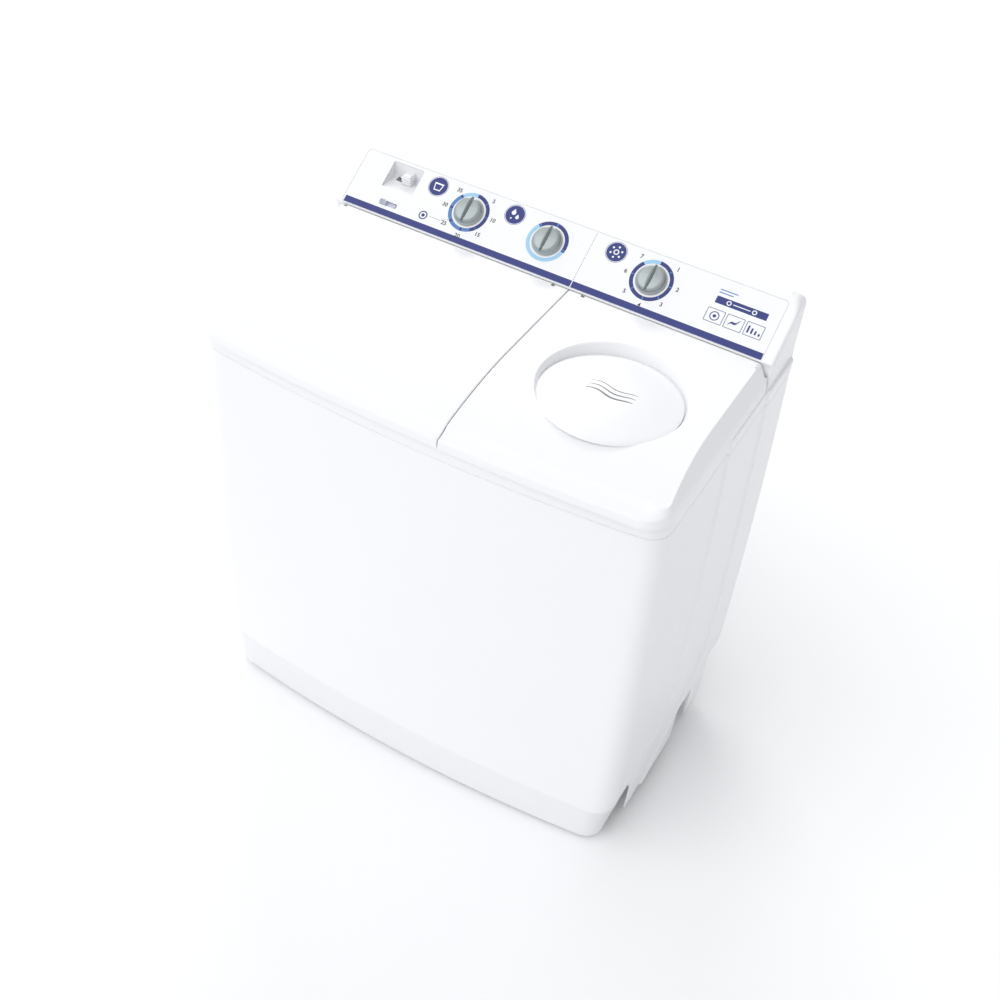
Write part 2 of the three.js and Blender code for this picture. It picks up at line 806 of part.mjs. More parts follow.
// The ribbed nozzle that stands on the notch's floor against its back.
function inletNozzle() {
  const { nozzle, nozzleHalf, nozzleDepth, nozzleHeight } = INLET;
  const floor = inletFloor();
  const back = inletBack();
  const bar = (near, low, high, half) => {
    const rear = back + 1;
    const corners = [[near, low], [rear, low], [rear, high], [near, high]];
    const outline = corners.map(([y, z]) => panelMeasures(y, z));
    return alongX(outline, nozzle - half, nozzle + half);
  };
  const front = back - nozzleDepth;
  const post = bar(front, floor - 1, floor + nozzleHeight, nozzleHalf);
  const ribs = [3, 8, 13].map((up) => bar(front - 2, floor + up, floor + up + 2, nozzleHalf + 2));
  return join(post, ...ribs);
}

// The thumb piece stands in the slot at its left end; its shutter runs behind the slot.
function inletSlider() {
  const { x, up, slotHeight, thumbHalf, travel } = SLIDER;
  const start = x - travel / 2;
  const tall = slotHeight - 1;
  const thumb = block(start - thumbHalf, start + thumbHalf, up - tall, up + tall, -7, 5);
  const ridge = block(start - 1.5, start + 1.5, up - tall, up + tall, 4, 8);
  const shutter = block(start - 26, start + 26, up - 9, up + 9, -8, -5);
  return join(thumb, ridge, shutter);
}

// ---------------------------------------------------------------- wash tub and its drive

// A moulded tub with rounded corners, hung by its flange under the deck.
function washTub() {
  const shell = slab(washOutline(-WASH.wall), WASH.floor, WASH.top);
  const inside = slab(washOutline(0), WASH.floor + WASH.wall, BIG);
  const flange = slab(washOutline(-14), WASH.top - 4, WASH.top, { hole: washOutline(1) });
  const shaftHole = rod(WASH.x, WASH.y, 0, BIG, 24, 24);
  const drainHole = rod(DRAIN.x, DRAIN.y, 0, BIG, DRAIN.bore, 20);
  const wallX = WASH.x + WASH.halfX;
  const { y, high } = OVERFLOW;
  const overflow = block(wallX - 7, wallX + 19, y - 35, y + 35, high - 30, high - 10);
  return cut(join(shell, flange), inside, shaftHole, drainHole, overflow);
}

// A ribbed disc that turns just above the wash tub's floor, hollow below.
function pulsator() {
  const { radius, floor, edge, hub, vanes } = PULSATOR;
  const dish = turned(WASH.x, WASH.y, [
    [0, floor],
    [radius - 8, floor],
    [radius, floor + 4],
    [radius, floor + edge],
    [radius - 6, floor + edge + 3],
    [radius * 0.55, floor + 12],
    [hub, floor + 26],
    [hub - 10, floor + 40],
    [0, floor + 42],
  ], 24);
  const blades = Array.from({ length: vanes }, (_, i) => {
    const blade = new THREE.BoxGeometry(radius - 30, 12, 26);
    blade.translate((radius - 30) / 2 + 12, 0, floor + 19);
    return blade.rotateZ((i * 2 * Math.PI) / vanes).translate(WASH.x, WASH.y, 0);
  });
  const bore = rod(WASH.x, WASH.y, 0, floor + 30, DRIVE.shaftRadius + GAP, 16);
  const under = ring(WASH.x, WASH.y, [
    [24, floor - 1],
    [radius - 6, floor - 1],
    [radius - 6, floor + edge - 2],
    [radius * 0.55, floor + 8],
    [24, floor + 12],
  ], 24);
  return cut(join(dish, ...blades), bore, under);
}

function pulsatorShaft() {
  return rod(WASH.x, WASH.y, DRIVE.beltLow - 8, PULSATOR.floor + 28, DRIVE.shaftRadius, 16);
}

// The flanged housing that carries the pulsator's shaft through the tub floor.
function pulsatorBearingHousing() {
  const r = DRIVE.shaftRadius + GAP;
  return ring(WASH.x, WASH.y, [
    [r, 290],
    [40, 290],
    [46, 300],
    [70, 304],
    [70, 360],
    [48, 368],
    [48, 399.4],
    [23, 399.4],
    [23, 404],
    [r, 404],
  ], 14);
}

// A grooved wheel that the belt runs in; the large one is dished round its hub.
function pulley(x, y, radius, bore) {
  const { beltLow, beltHigh, flange } = DRIVE;
  const rim = radius + 4;
  const hubRadius = Math.max(bore + 8, radius * 0.3);
  const hubTop = beltHigh + flange + 8;
  const dished = radius > 40;
  const inside = [
    [radius - 6, beltHigh + flange],
    [radius - 6, beltLow + 3],
    [hubRadius, beltLow + 3],
    [hubRadius, hubTop],
    [bore + GAP, hubTop],
  ];
  return ring(x, y, [
    [bore + GAP, beltLow - flange],
    [rim, beltLow - flange],
    [rim, beltLow - 0.5],
    [radius, beltLow - 0.5],
    [radius, beltHigh + 0.5],
    [rim, beltHigh + 0.5],
    [rim, beltHigh + flange],
    ...(dished ? inside : [[bore + GAP, beltHigh + flange]]),
  ], dished ? 20 : 14);
}

// The outline of a loop drawn tight round two circles.
function loopOutline(a, ra, b, rb) {
  const along = Math.atan2(b.y - a.y, b.x - a.x);
  const distance = Math.hypot(b.x - a.x, b.y - a.y);
  const lean = Math.acos((ra - rb) / distance);
  const points = [];
  const arc = (centre, radius, from, to, count) => {
    for (let i = 0; i <= count; i++) {
      const angle = from + ((to - from) * i) / count;
      points.push(vec(centre.x + radius * Math.cos(angle), centre.y + radius * Math.sin(angle)));
    }
  };
  arc(a, ra, along + lean, along + 2 * Math.PI - lean, 20);
  arc(b, rb, along - lean, along + lean, 8);
  return points;
}

function driveBelt() {
  const { bigRadius, smallRadius, beltThickness, beltLow, beltHigh } = DRIVE;
  const far = { x: WASH_MOTOR.x, y: WASH_MOTOR.y };
  const loop = (offset) => loopOutline(WASH, bigRadius + offset, far, smallRadius + offset);
  const slack = 1.2;
  const outside = loop(slack + beltThickness);
  const inside = loop(slack);
  return slab(outside, beltLow + GAP, beltHigh - GAP, { hole: inside });
}

// A closed induction motor: two end bells and a laminated middle, bored for its shaft.
function motor(x, y, { radius, low, high, shaftRadius }) {
  const bore = shaftRadius + GAP;
  const bell = 26;
  return ring(x, y, [
    [bore, low],
    [radius - 24, low],
    [radius - 8, low + 8],
    [radius - 4, low + bell],
    [radius, low + bell],
    [radius, high - bell],
    [radius - 4, high - bell],
    [radius - 8, high - 8],
    [radius - 24, high],
    [bore, high],
  ], 14);
}

function washMotorShaft() {
  const { x, y, low, shaftTop, shaftRadius } = WASH_MOTOR;
  return rod(x, y, low + 6, shaftTop, shaftRadius, 16);
}

// A bridge on two legs that carries the wash motor over the base's floor.
function washMotorBracket() {
  const { x, y, radius, low } = WASH_MOTOR;
  const floor = BASE.bottom + BASE.wall + GAP;
  const plate = block(x - 70, x + 70, y - 60, y + 60, low - 5, low - GAP);
  const legs = [-1, 1].map((side) => {
    const outer = x + side * 70;
    const inner = x + side * 66;
    return block(Math.min(outer, inner), Math.max(outer, inner), y - 40, y + 40, floor, low - 3);
  });
  const toes = [-1, 1].map((side) => {
    const a = x + side * 66;
    const b = x + side * 92;
    return block(Math.min(a, b), Math.max(a, b), y - 40, y + 40, floor, floor + 3);
  });
  return cut(join(plate, ...legs, ...toes), rod(x, y, 0, BIG, radius - 40, 20));
}

// ---------------------------------------------------------------- spin tub and its drive

function spinOuterTub() {
  const { x, y, outerRadius, floor, top, wall } = SPIN;
  return ring(x, y, [
    [34, floor],
    [outerRadius, floor],
    [outerRadius, top - 4],
    [outerRadius + 12, top - 4],
    [outerRadius + 12, top],
    [outerRadius - wall, top],
    [outerRadius - wall, floor + wall],
    [34, floor + wall],
  ], 24);
}

// A basket with an inward lip at its mouth and a cone round the shaft in its floor.
function spinBasket() {
  const { radius, floor, top, wall, lip } = BASKET;
  const bore = SPIN_MOTOR.shaftRadius + GAP;
  return ring(SPIN.x, SPIN.y, [
    [bore, floor],
    [radius - 12, floor],
    [radius, floor + 14],
    [radius, top],
    [lip + 6, top],
    [lip, top - 8],
    [lip, top - 22],
    [radius - wall, top - 34],
    [radius - wall, floor + 16],
    [radius - 14, floor + 3],
    [52, floor + 3],
    [30, floor + 32],
    [bore, floor + 32],
  ], 24);
}

function spinShaft() {
  return rod(SPIN.x, SPIN.y, SPIN_MOTOR.low + 4, BASKET.floor + 40, SPIN_MOTOR.shaftRadius, 16);
}

// The cup on the spin shaft that the brake's pad bears on.
function brakeDrum() {
  const { drumRadius, low, high } = BRAKE;
  const bore = SPIN_MOTOR.shaftRadius + GAP;
  return ring(SPIN.x, SPIN.y, [
    [bore, low],
    [drumRadius, low],
    [drumRadius, high],
    [drumRadius - 5, high],
    [drumRadius - 5, low + 5],
    [22, low + 5],
    [22, high + 12],
    [bore, high + 12],
  ], 16);
}

function brakePivotPlace() {
  return [SPIN.x + BRAKE.drumRadius + BRAKE.padGap + 13, SPIN.y + BRAKE.leverReach];
}

// The lever carries the brake's pad beside the drum and turns on the pivot's post.
function brakeLever() {
  const { drumRadius, padGap, low, leverReach, pinRadius } = BRAKE;
  const padX = SPIN.x + drumRadius + padGap;
  const [pivotX, pivotY] = brakePivotPlace();
  const arm = block(padX + 10, padX + 16, SPIN.y - 30, SPIN.y + leverReach, low + 8, low + 22);
  const pad = block(padX, padX + 11, SPIN.y - 16, SPIN.y + 16, low + 4, low + 26);
  const eye = rod(pivotX, pivotY, low + 4, low + 26, 9, 16);
  return cut(join(arm, pad, eye), rod(pivotX, pivotY, 0, BIG, pinRadius + 0.6, 12));
}

function brakePivot() {
  const [x, y] = brakePivotPlace();
  const footLow = 172;
  const post = rod(x, y, footLow + 3, BRAKE.low + 30, BRAKE.pinRadius, 12);
  const plate = block(x - 70, x + 8, y - 8, y + 8, footLow, footLow + 4);
  return join(post, plate);
}

// A rubber boot that seals the turning shaft to the outer tub.
function spinBellows() {
  const inner = SPIN_MOTOR.shaftRadius + 1;
  const { floor } = SPIN;
  return ring(SPIN.x, SPIN.y, [
    [inner, floor - 52],
    [20, floor - 52],
    [26, floor - 40],
    [20, floor - 30],
    [32, floor - 18],
    [24, floor - 8],
    [33, floor - GAP],
    [33, floor + 6],
    [48, floor + 3 + GAP],
    [48, floor + 9],
    [28, floor + 10],
    [18, floor - 8],
    [26, floor - 18],
    [14, floor - 30],
    [20, floor - 40],
    [inner, floor - 46],
  ], 12);
}

const SPRING_PLACES = [90, 210, 330].map((degrees) => {
  const angle = degrees * DEGREES;
  return [SPIN.x + 84 * Math.cos(angle), SPIN.y + 84 * Math.sin(angle)];
});

function spinMotorPlate() {
  const top = SPIN_MOTOR.low - GAP;
  const pads = SPRING_PLACES.map(([x, y]) => rod(x, y, top - 5, top, 24, 12));
  const middle = rod(SPIN.x, SPIN.y, top - 5, top, 74, 20);
  return cut(join(middle, ...pads), rod(SPIN.x, SPIN.y, 0, BIG, 30, 12));
}

function suspensionSpring(x, y) {
  const low = BASE.bottom + BASE.wall + GAP + 3;
  const high = SPIN_MOTOR.low - GAP - 5 - GAP - 3;
  const turns = 4;
  const perTurn = 7;
  const count = turns * perTurn;
  const points = Array.from({ length: count + 1 }, (_, i) => {
    const angle = (i / perTurn) * 2 * Math.PI;
    return [x + 15 * Math.cos(angle), y + 15 * Math.sin(angle), low + ((high - low) * i) / count];
  });
  return tube(points, 2.4, 4, count);
}

// A light cover over the basket's mouth, with a finger grip and drain holes.
function safetyCover() {
  const { x, y } = SPIN;
  const z0 = COVER_TOP;
  const disc = slab(circle(x, y, SPIN.mouth - 2, 24), z0 - 4, z0);
  const rim = ring(x, y, [
    [SPIN.mouth - 10, z0 - 14],
    [SPIN.mouth - 2.5, z0 - 14],
    [SPIN.mouth - 2.5, z0 - 2],
    [SPIN.mouth - 10, z0 - 2],
  ], 24);
  const tongue = block(x - 40, x + 40, y + SPIN.mouth - 20, y + SPIN.mouth + 14, z0, z0 + 3);
  const knuckle = rodAlongX(x - 40, x + 40, COVER_HINGE.y, COVER_HINGE.z, 3.4, 10);
  const stub = rodAlongX(x - 48, x + 48, COVER_HINGE.y, COVER_HINGE.z, 2.2, 8);
  const holes = [];
  for (const radius of [45, 90]) {
    for (let i = 0; i < 6; i++) {
      const angle = (i / 6) * 2 * Math.PI;
      holes.push(rod(x + radius * Math.cos(angle), y + radius * Math.sin(angle), 0, BIG, 8, 6));
    }
  }
  return cut(join(disc, rim, tongue, knuckle, stub), ...holes);
}

// ---------------------------------------------------------------- water ways

function drainValveBody() {
  return ring(DRAIN.x, DRAIN.y, [
    [16, 352],
    [30, 352],
    [30, 396],
    [38, 396],
    [38, 399.4],
    [18, 399.4],
    [18, 372],
    [16, 370],
  ], 16);
}

// A rubber stopper on a stem; lifting it lets the wash tub drain.
function drainPlunger() {
  return turned(DRAIN.x, DRAIN.y, [
    [0, 366],
    [3, 366],
    [3, 375],
    [15, 378],
    [15, 392],
    [11, 396],
    [4, 398],
    [4, 404],
    [0, 404],
  ], 12);
}

// The pipe falls from the valve, runs behind both drives and ends at the outlet.
function drainPipe() {
  const { x, y, pipeRadius } = DRAIN;
  const route = [
    [x, y, 351],
    [x, y + 8, 320],
    [x + 5, y + 50, 290],
    [x + 40, y + 105, 270],
    [x + 140, y + 116, 230],
    [0, 176, 160],
    [200, 162, 100],
    [310, 140, 84],
    [360, 142, OUTLET.z],
    [OUTLET.x - 6, 166, OUTLET.z],
    [OUTLET.x, 206, OUTLET.z],
  ];
  return tube(route, pipeRadius, 8, 26);
}

// The spigot that the drain hose is pushed on, at the back of the base.
function drainOutlet() {
  const { x, z, radius, bore, length } = OUTLET;
  const back = BASE.rear + GAP;
  const stub = rodAlongY(x, back, back + length, z, radius, 12);
  const beads = [back + 19, back + 33].map((y) => rodAlongY(x, y, y + 4, z, radius + 2, 12));
  const flange = block(x - 26, x + 26, back, back + 4, z - 26, z + 26);
  return cut(join(stub, flange, ...beads), rodAlongY(x, back - 10, back + length + 10, z, bore, 12));
}

// A slotted trough on the tub's right wall, over the overflow's opening.
function overflowCover() {
  const { y, halfWidth, depth, low, high } = OVERFLOW;
  const wall = WASH.x + WASH.halfX - GAP;
  const face = wall - depth;
  const narrow = halfWidth - SKIN;
  const shell = block(face, wall, y - halfWidth, y + halfWidth, low, high);
  const inside = block(face + SKIN, wall + 5, y - narrow, y + narrow, low + SKIN, high - SKIN);
  const slots = Array.from({ length: 6 }, (_, i) => {
    const z = low + 20 + i * 42;
    return block(face - 10, face + 10, y - 30, y + 30, z, z + 10);
  });
  return cut(shell, inside, ...slots);
}

// A frame with a bag behind it, which lifts off its hooks on the tub's left wall.
function lintFilter() {
  const { y, halfWidth, low, high, border, bagDepth } = FILTER;
  const wall = WASH.x - WASH.halfX + GAP + 1;
  const upright = (x0, x1, inset) =>
    block(x0, x1, y - halfWidth + inset, y + halfWidth - inset, low + inset, high - inset);
  const frame = upright(wall, wall + 9, 0);
  const bag = upright(wall + 2, wall + bagDepth, border - 1);
  const hollow = upright(wall - 5, wall + bagDepth - SKIN, border + 3);
  return cut(join(frame, bag), hollow);
}

// ---------------------------------------------------------------- back cover and cord gland

// A flat sheet over the service opening, with two groups of cooling louvres.
function backCover() {
  const { half, bottom, top } = BACK_OPENING;
  const y0 = BODY.rear + GAP;
  const plate = block(-half - 20, half + 20, y0, y0 + 1.6, bottom - 18, top + 16);
  const louvres = [-220, 220].flatMap((x) => [0, 1, 2, 3, 4].map((i) => {
    const z = bottom + 70 + i * 26;
    return block(x - 45, x + 45, y0 - 5, y0 + 5, z, z + 8);
  }));
  return cut(plate, ...louvres, ...screwHoles());
}

function screwHoles() {
  return screwPlaces().map(([x, z]) => rodAlongY(x, BODY.rear - 6, BODY.rear + 6, z, 2.8, 8));
}

function screwPlaces() {
  const x = BACK_OPENING.half + 11;
  const low = BACK_OPENING.bottom - 9;
  const high = BACK_OPENING.top + 8;
  return [[-x, low], [x, low], [-x, high], [x, high]];
}

function screw(x, z) {
  const plateFace = BODY.rear + GAP + 1.6;
  const head = rodAlongY(x, plateFace + 0.2, HOUSING.rear, z, 5, 12);
  const shank = rodAlongY(x, BODY.rear - 10, HOUSING.rear - 0.6, z, 2, 10);
  return join(head, shank);
}

// The grommet that the mains lead leaves by, gripped in the housing's rear wall.
function cordGland() {
  const { x, z, flange, neck, bore } = GLAND;
  const inner = HOUSING.rear - SKIN;
  const disc = rodAlongY(x, inner - 3, inner - GAP, z, flange, 16);
  const tubePart = rodAlongY(x, inner - 1, HOUSING.rear, z, neck, 16);
  return cut(join(disc, tubePart), rodAlongY(x, inner - 20, HOUSING.rear + 20, z, bore, 12));
}

// ---------------------------------------------------------------- the whole machine

place('cabinet_shell', cabinetShell(), WHITE);
place('base_frame', baseFrame(), LIGHT_GREY);
for (const [name, x, y] of footPlaces()) {
  place(name, foot(x, y), BLACK_RUBBER);
}
place('top_frame', topFrame(), WHITE);
place('back_cover', backCover(), LIGHT_GREY);
screwPlaces().forEach(([x, z], i) => place(`back_cover_screw_${i + 1}`, screw(x, z), ZINC));

place('wash_lid', lidShell(-1), WHITE);
place('spin_lid', spinLid(), WHITE);
place('spin_lid_dome', spinLidDome(), WHITE);
place('wash_lid_hinge_rod', hingeRod(-1), STEEL);
place('spin_lid_hinge_rod', hingeRod(1), STEEL);

place('control_housing', controlHousing(), WHITE);
place('control_fascia', controlFascia(), FASCIA_WHITE, panelGroup);
place('inlet_funnel', inletFunnel(), TUB_WHITE, panelGroup);
place('inlet_slider', inletSlider(), BLUE_PLASTIC, panelGroup);
place('cord_gland', cordGland(), DARK_PLASTIC);

const DIAL_PARTS = [
  ['wash', 'wash_timer', 30, 28, 32],
  ['selector', 'selector_switch', 26, 22, 24],
  ['spin', 'spin_timer', 30, 28, 32],
];
for (const [dial, caseName, halfX, halfY, depth] of DIAL_PARTS) {
  const { x, up } = DIALS[dial];
  const pieces = [
    place(caseName, timerCase(halfX, halfY, depth), DARK_PLASTIC, panelGroup),
    place(`${dial}_dial_shaft`, dialShaft(), STEEL, panelGroup),
    place(`${dial}_knob`, knob(), SILVER, panelGroup),
  ];
  pieces.forEach((piece) => piece.position.set(x, up, 0));
}

place('wash_tub', washTub(), TUB_WHITE);
place('pulsator', pulsator(), BLUE_PLASTIC);
place('pulsator_shaft', pulsatorShaft(), STEEL);
place('pulsator_bearing_housing', pulsatorBearingHousing(), ZINC);
place('pulsator_pulley', pulley(WASH.x, WASH.y, DRIVE.bigRadius, DRIVE.shaftRadius), ZINC);
place('motor_pulley', pulley(WASH_MOTOR.x, WASH_MOTOR.y, DRIVE.smallRadius, WASH_MOTOR.shaftRadius), ZINC);
place('drive_belt', driveBelt(), BLACK_RUBBER);
place('wash_motor', motor(WASH_MOTOR.x, WASH_MOTOR.y, WASH_MOTOR), MOTOR_GREY);
place('wash_motor_shaft', washMotorShaft(), STEEL);
place('wash_motor_bracket', washMotorBracket(), ZINC);

place('spin_outer_tub', spinOuterTub(), TUB_WHITE);
place('spin_basket', spinBasket(), STEEL);
place('spin_shaft', spinShaft(), STEEL);
place('brake_drum', brakeDrum(), ZINC);
place('brake_lever', brakeLever(), ZINC);
place('brake_pivot', brakePivot(), STEEL);
place('spin_bellows', spinBellows(), BLACK_RUBBER);
place('spin_motor', motor(SPIN.x, SPIN.y, SPIN_MOTOR), MOTOR_GREY);
place('spin_motor_plate', spinMotorPlate(), ZINC);
SPRING_PLACES.forEach(([x, y], i) => place(`suspension_spring_${i + 1}`, suspensionSpring(x, y), STEEL));
place('safety_cover', safetyCover(), BLUE_PLASTIC);

place('drain_valve_body', drainValveBody(), LIGHT_GREY);
place('drain_plunger', drainPlunger(), BLACK_RUBBER);
place('drain_pipe', drainPipe(), LIGHT_GREY);
place('drain_outlet', drainOutlet(), DARK_PLASTIC);
place('overflow_cover', overflowCover(), TUB_WHITE);
place('lint_filter', lintFilter(), BLUE_PLASTIC);

export default washer;
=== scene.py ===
# The looks of a twin tub washer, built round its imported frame. Lengths are millimetres until a mesh is made.
import json
import math

import bmesh
import bpy
from mathutils import Matrix, Vector


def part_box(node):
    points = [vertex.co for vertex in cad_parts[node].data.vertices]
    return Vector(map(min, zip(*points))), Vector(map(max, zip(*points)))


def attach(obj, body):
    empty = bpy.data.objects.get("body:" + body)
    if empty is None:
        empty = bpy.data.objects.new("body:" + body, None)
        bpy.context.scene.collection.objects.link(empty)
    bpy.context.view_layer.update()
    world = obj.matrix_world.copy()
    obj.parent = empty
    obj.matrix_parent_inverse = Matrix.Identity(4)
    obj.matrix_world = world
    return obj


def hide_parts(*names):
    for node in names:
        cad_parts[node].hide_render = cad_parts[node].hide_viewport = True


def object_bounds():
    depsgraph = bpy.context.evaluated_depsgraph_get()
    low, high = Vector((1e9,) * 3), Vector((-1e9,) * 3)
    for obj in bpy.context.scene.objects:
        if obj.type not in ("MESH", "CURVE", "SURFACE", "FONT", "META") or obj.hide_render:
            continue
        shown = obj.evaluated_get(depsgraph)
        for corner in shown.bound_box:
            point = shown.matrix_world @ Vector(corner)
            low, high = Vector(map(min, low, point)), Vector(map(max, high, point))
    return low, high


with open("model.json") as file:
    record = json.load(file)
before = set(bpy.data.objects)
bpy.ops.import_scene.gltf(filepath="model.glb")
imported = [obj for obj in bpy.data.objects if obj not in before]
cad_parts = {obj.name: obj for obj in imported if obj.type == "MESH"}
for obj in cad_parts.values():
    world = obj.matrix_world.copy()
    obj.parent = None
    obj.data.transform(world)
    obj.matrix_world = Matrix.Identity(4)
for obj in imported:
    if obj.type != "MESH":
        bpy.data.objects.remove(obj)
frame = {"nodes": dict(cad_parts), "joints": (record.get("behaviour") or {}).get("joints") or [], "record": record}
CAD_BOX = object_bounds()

MM = 0.001
SCENE = bpy.context.scene


def size_of(node):
    low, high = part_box(node)
    return low / MM, high / MM


# ---------------------------------------------------------------- camera, lights and floor

SKY_SLANT = (-0.8, -0.5, 0.33)
SKY_DARK = 0.47
SKY_LIGHT = 1.08


def make_camera():
    azimuth, elevation, roll = (math.radians(a) for a in (26.07, 43.41, 5.6))
    distance = 2.680
    aim = (CAD_BOX[0] + CAD_BOX[1]) / 2 + Vector((35, 11.5, 18.8)) * MM
    flat = math.cos(elevation)
    forward = Vector((-math.sin(azimuth) * flat, math.cos(azimuth) * flat, -math.sin(elevation)))
    level = Vector((math.cos(azimuth), math.sin(azimuth), 0))
    up = level.cross(forward)
    right = level * math.cos(roll) + up * math.sin(roll)
    top = up * math.cos(roll) - level * math.sin(roll)
    data = bpy.data.cameras.new("camera")
    data.lens = 48.46
    data.sensor_width = 36
    camera = bpy.data.objects.new("camera", data)
    SCENE.collection.objects.link(camera)
    place = Matrix((right, top, -forward)).transposed().to_4x4()
    place.translation = aim - forward * distance
    camera.matrix_world = place
    SCENE.camera = camera


def area_light(name, place, aim, size, power, color=(1, 1, 1)):
    data = bpy.data.lights.new(name, "AREA")
    data.shape = "RECTANGLE"
    data.size, data.size_y = size
    data.energy = power
    data.color = color
    light = bpy.data.objects.new(name, data)
    light.location = place
    direction = Vector(aim) - Vector(place)
    light.rotation_euler = direction.to_track_quat("-Z", "Y").to_euler()
    SCENE.collection.objects.link(light)


def make_world():
    """An even studio round the object, brighter to the front left and above than to the right and behind."""
    world = bpy.data.worlds.new("studio")
    SCENE.world = world
    world.use_nodes = True
    tree = world.node_tree
    background = tree.nodes["Background"]
    background.inputs["Color"].default_value = (0.985, 0.99, 1.0, 1)
    coords = node(tree, "ShaderNodeTexCoord")
    slant = node(tree, "ShaderNodeVectorMath", {1: SKY_SLANT}, operation="DOT_PRODUCT")
    ranged = node(
        tree, "ShaderNodeMapRange",
        {"From Min": -1, "From Max": 1, "To Min": SKY_DARK, "To Max": SKY_LIGHT},
    )
    tree.links.new(coords.outputs["Generated"], slant.inputs[0])
    tree.links.new(slant.outputs["Value"], ranged.inputs["Value"])
    tree.links.new(ranged.outputs["Result"], background.inputs["Strength"])


def make_lights():
    sun = bpy.data.lights.new("key", "SUN")
    sun.energy = 0.75
    sun.angle = math.radians(55)
    key = bpy.data.objects.new("key", sun)
    key.rotation_euler = Vector((0.35, 0.55, -0.76)).to_track_quat("-Z", "Y").to_euler()
    SCENE.collection.objects.link(key)
    area_light("softbox", (-2.2, 3.4, 3.6), (0, 0, 0.9), (2.6, 1.6), 60)
    SCENE.view_settings.view_transform = "Standard"
    SCENE.view_settings.look = "None"


# ---------------------------------------------------------------- materials

def node(tree, kind, inputs=None, **settings):
    made = tree.nodes.new(kind)
    for key, value in settings.items():
        setattr(made, key, value)
    for key, value in (inputs or {}).items():
        made.inputs[key].default_value = value
    return made


def new_material(name):
    material = bpy.data.materials.new(name)
    material.use_nodes = True
    tree = material.node_tree
    return material, tree, tree.nodes["Principled BSDF"]


def noise_on(tree, scale, detail=3.0, stretch=(1, 1, 1)):
    """A noise that hangs on the object's own coordinates; scale is in bumps a metre."""
    coords = node(tree, "ShaderNodeTexCoord")
    mapping = node(tree, "ShaderNodeMapping")
    mapping.inputs["Scale"].default_value = stretch
    texture = node(tree, "ShaderNodeTexNoise", {"Scale": scale, "Detail": detail})
    tree.links.new(coords.outputs["Object"], mapping.inputs["Vector"])
    tree.links.new(mapping.outputs["Vector"], texture.inputs["Vector"])
    return texture.outputs["Fac"]


def spread(tree, source, low, high):
    """The source, remapped from its usual 0.3 to 0.7 to run from low to high."""
    ranged = node(
        tree, "ShaderNodeMapRange", {"From Min": 0.3, "From Max": 0.7, "To Min": low, "To Max": high},
    )
    tree.links.new(source, ranged.inputs["Value"])
    return ranged.outputs["Result"]


def shade_between(tree, source, color, depth):
    """A colour that drifts by depth, as a share, with the source."""
    mix = node(tree, "ShaderNodeMix", data_type="RGBA")
    mix.inputs["A"].default_value = tuple(c * (1 - depth) for c in color) + (1,)
    mix.inputs["B"].default_value = tuple(min(1, c * (1 + depth * 0.5)) for c in color) + (1,)
    tree.links.new(source, mix.inputs["Factor"])
    return mix.outputs["Result"]


def bump_from(tree, source, strength, depth):
    bump = node(tree, "ShaderNodeBump", {"Strength": strength, "Distance": depth * MM})
    tree.links.new(source, bump.inputs["Height"])
    return bump.outputs["Normal"]


def surface(name, color, roughness, grain=900, bump=0.1, depth=0.05, drift=0.012, metal=0.0, coat=0.0,
            stretch=(1, 1, 1), alpha=1.0):
    """A moulded, cast or drawn surface: fine grain, uneven gloss and a slow drift of colour."""
    material, tree, shader = new_material(name)
    broad = noise_on(tree, 4.0, 2.0)
    fine = noise_on(tree, grain, 4.0, stretch)
    patchy = noise_on(tree, 38.0, 3.0, stretch)
    link = tree.links.new
    link(shade_between(tree, broad, color, drift), shader.inputs["Base Color"])
    link(spread(tree, patchy, roughness * 0.85, roughness * 1.15), shader.inputs["Roughness"])
    link(bump_from(tree, fine, bump, depth), shader.inputs["Normal"])
    shader.inputs["Metallic"].default_value = metal
    shader.inputs["Coat Weight"].default_value = coat
    shader.inputs["Coat Roughness"].default_value = 0.15
    shader.inputs["Alpha"].default_value = alpha
    return material


def laminated(name, color, pitch):
    """Stacked sheets: a fine banding up the object's height."""
    material, tree, shader = new_material(name)
    coords = node(tree, "ShaderNodeTexCoord")
    bands = node(tree, "ShaderNodeTexWave", {"Scale": 1 / (pitch * MM * 6.28), "Distortion": 0.2})
    bands.bands_direction = "Z"
    tree.links.new(coords.outputs["Object"], bands.inputs["Vector"])
    broad = noise_on(tree, 60.0)
    tree.links.new(shade_between(tree, broad, color, 0.18), shader.inputs["Base Color"])
    tree.links.new(bump_from(tree, bands.outputs["Fac"], 0.5, 0.4), shader.inputs["Normal"])
    tree.links.new(spread(tree, broad, 0.42, 0.62), shader.inputs["Roughness"])
    shader.inputs["Metallic"].default_value = 0.7
    return material


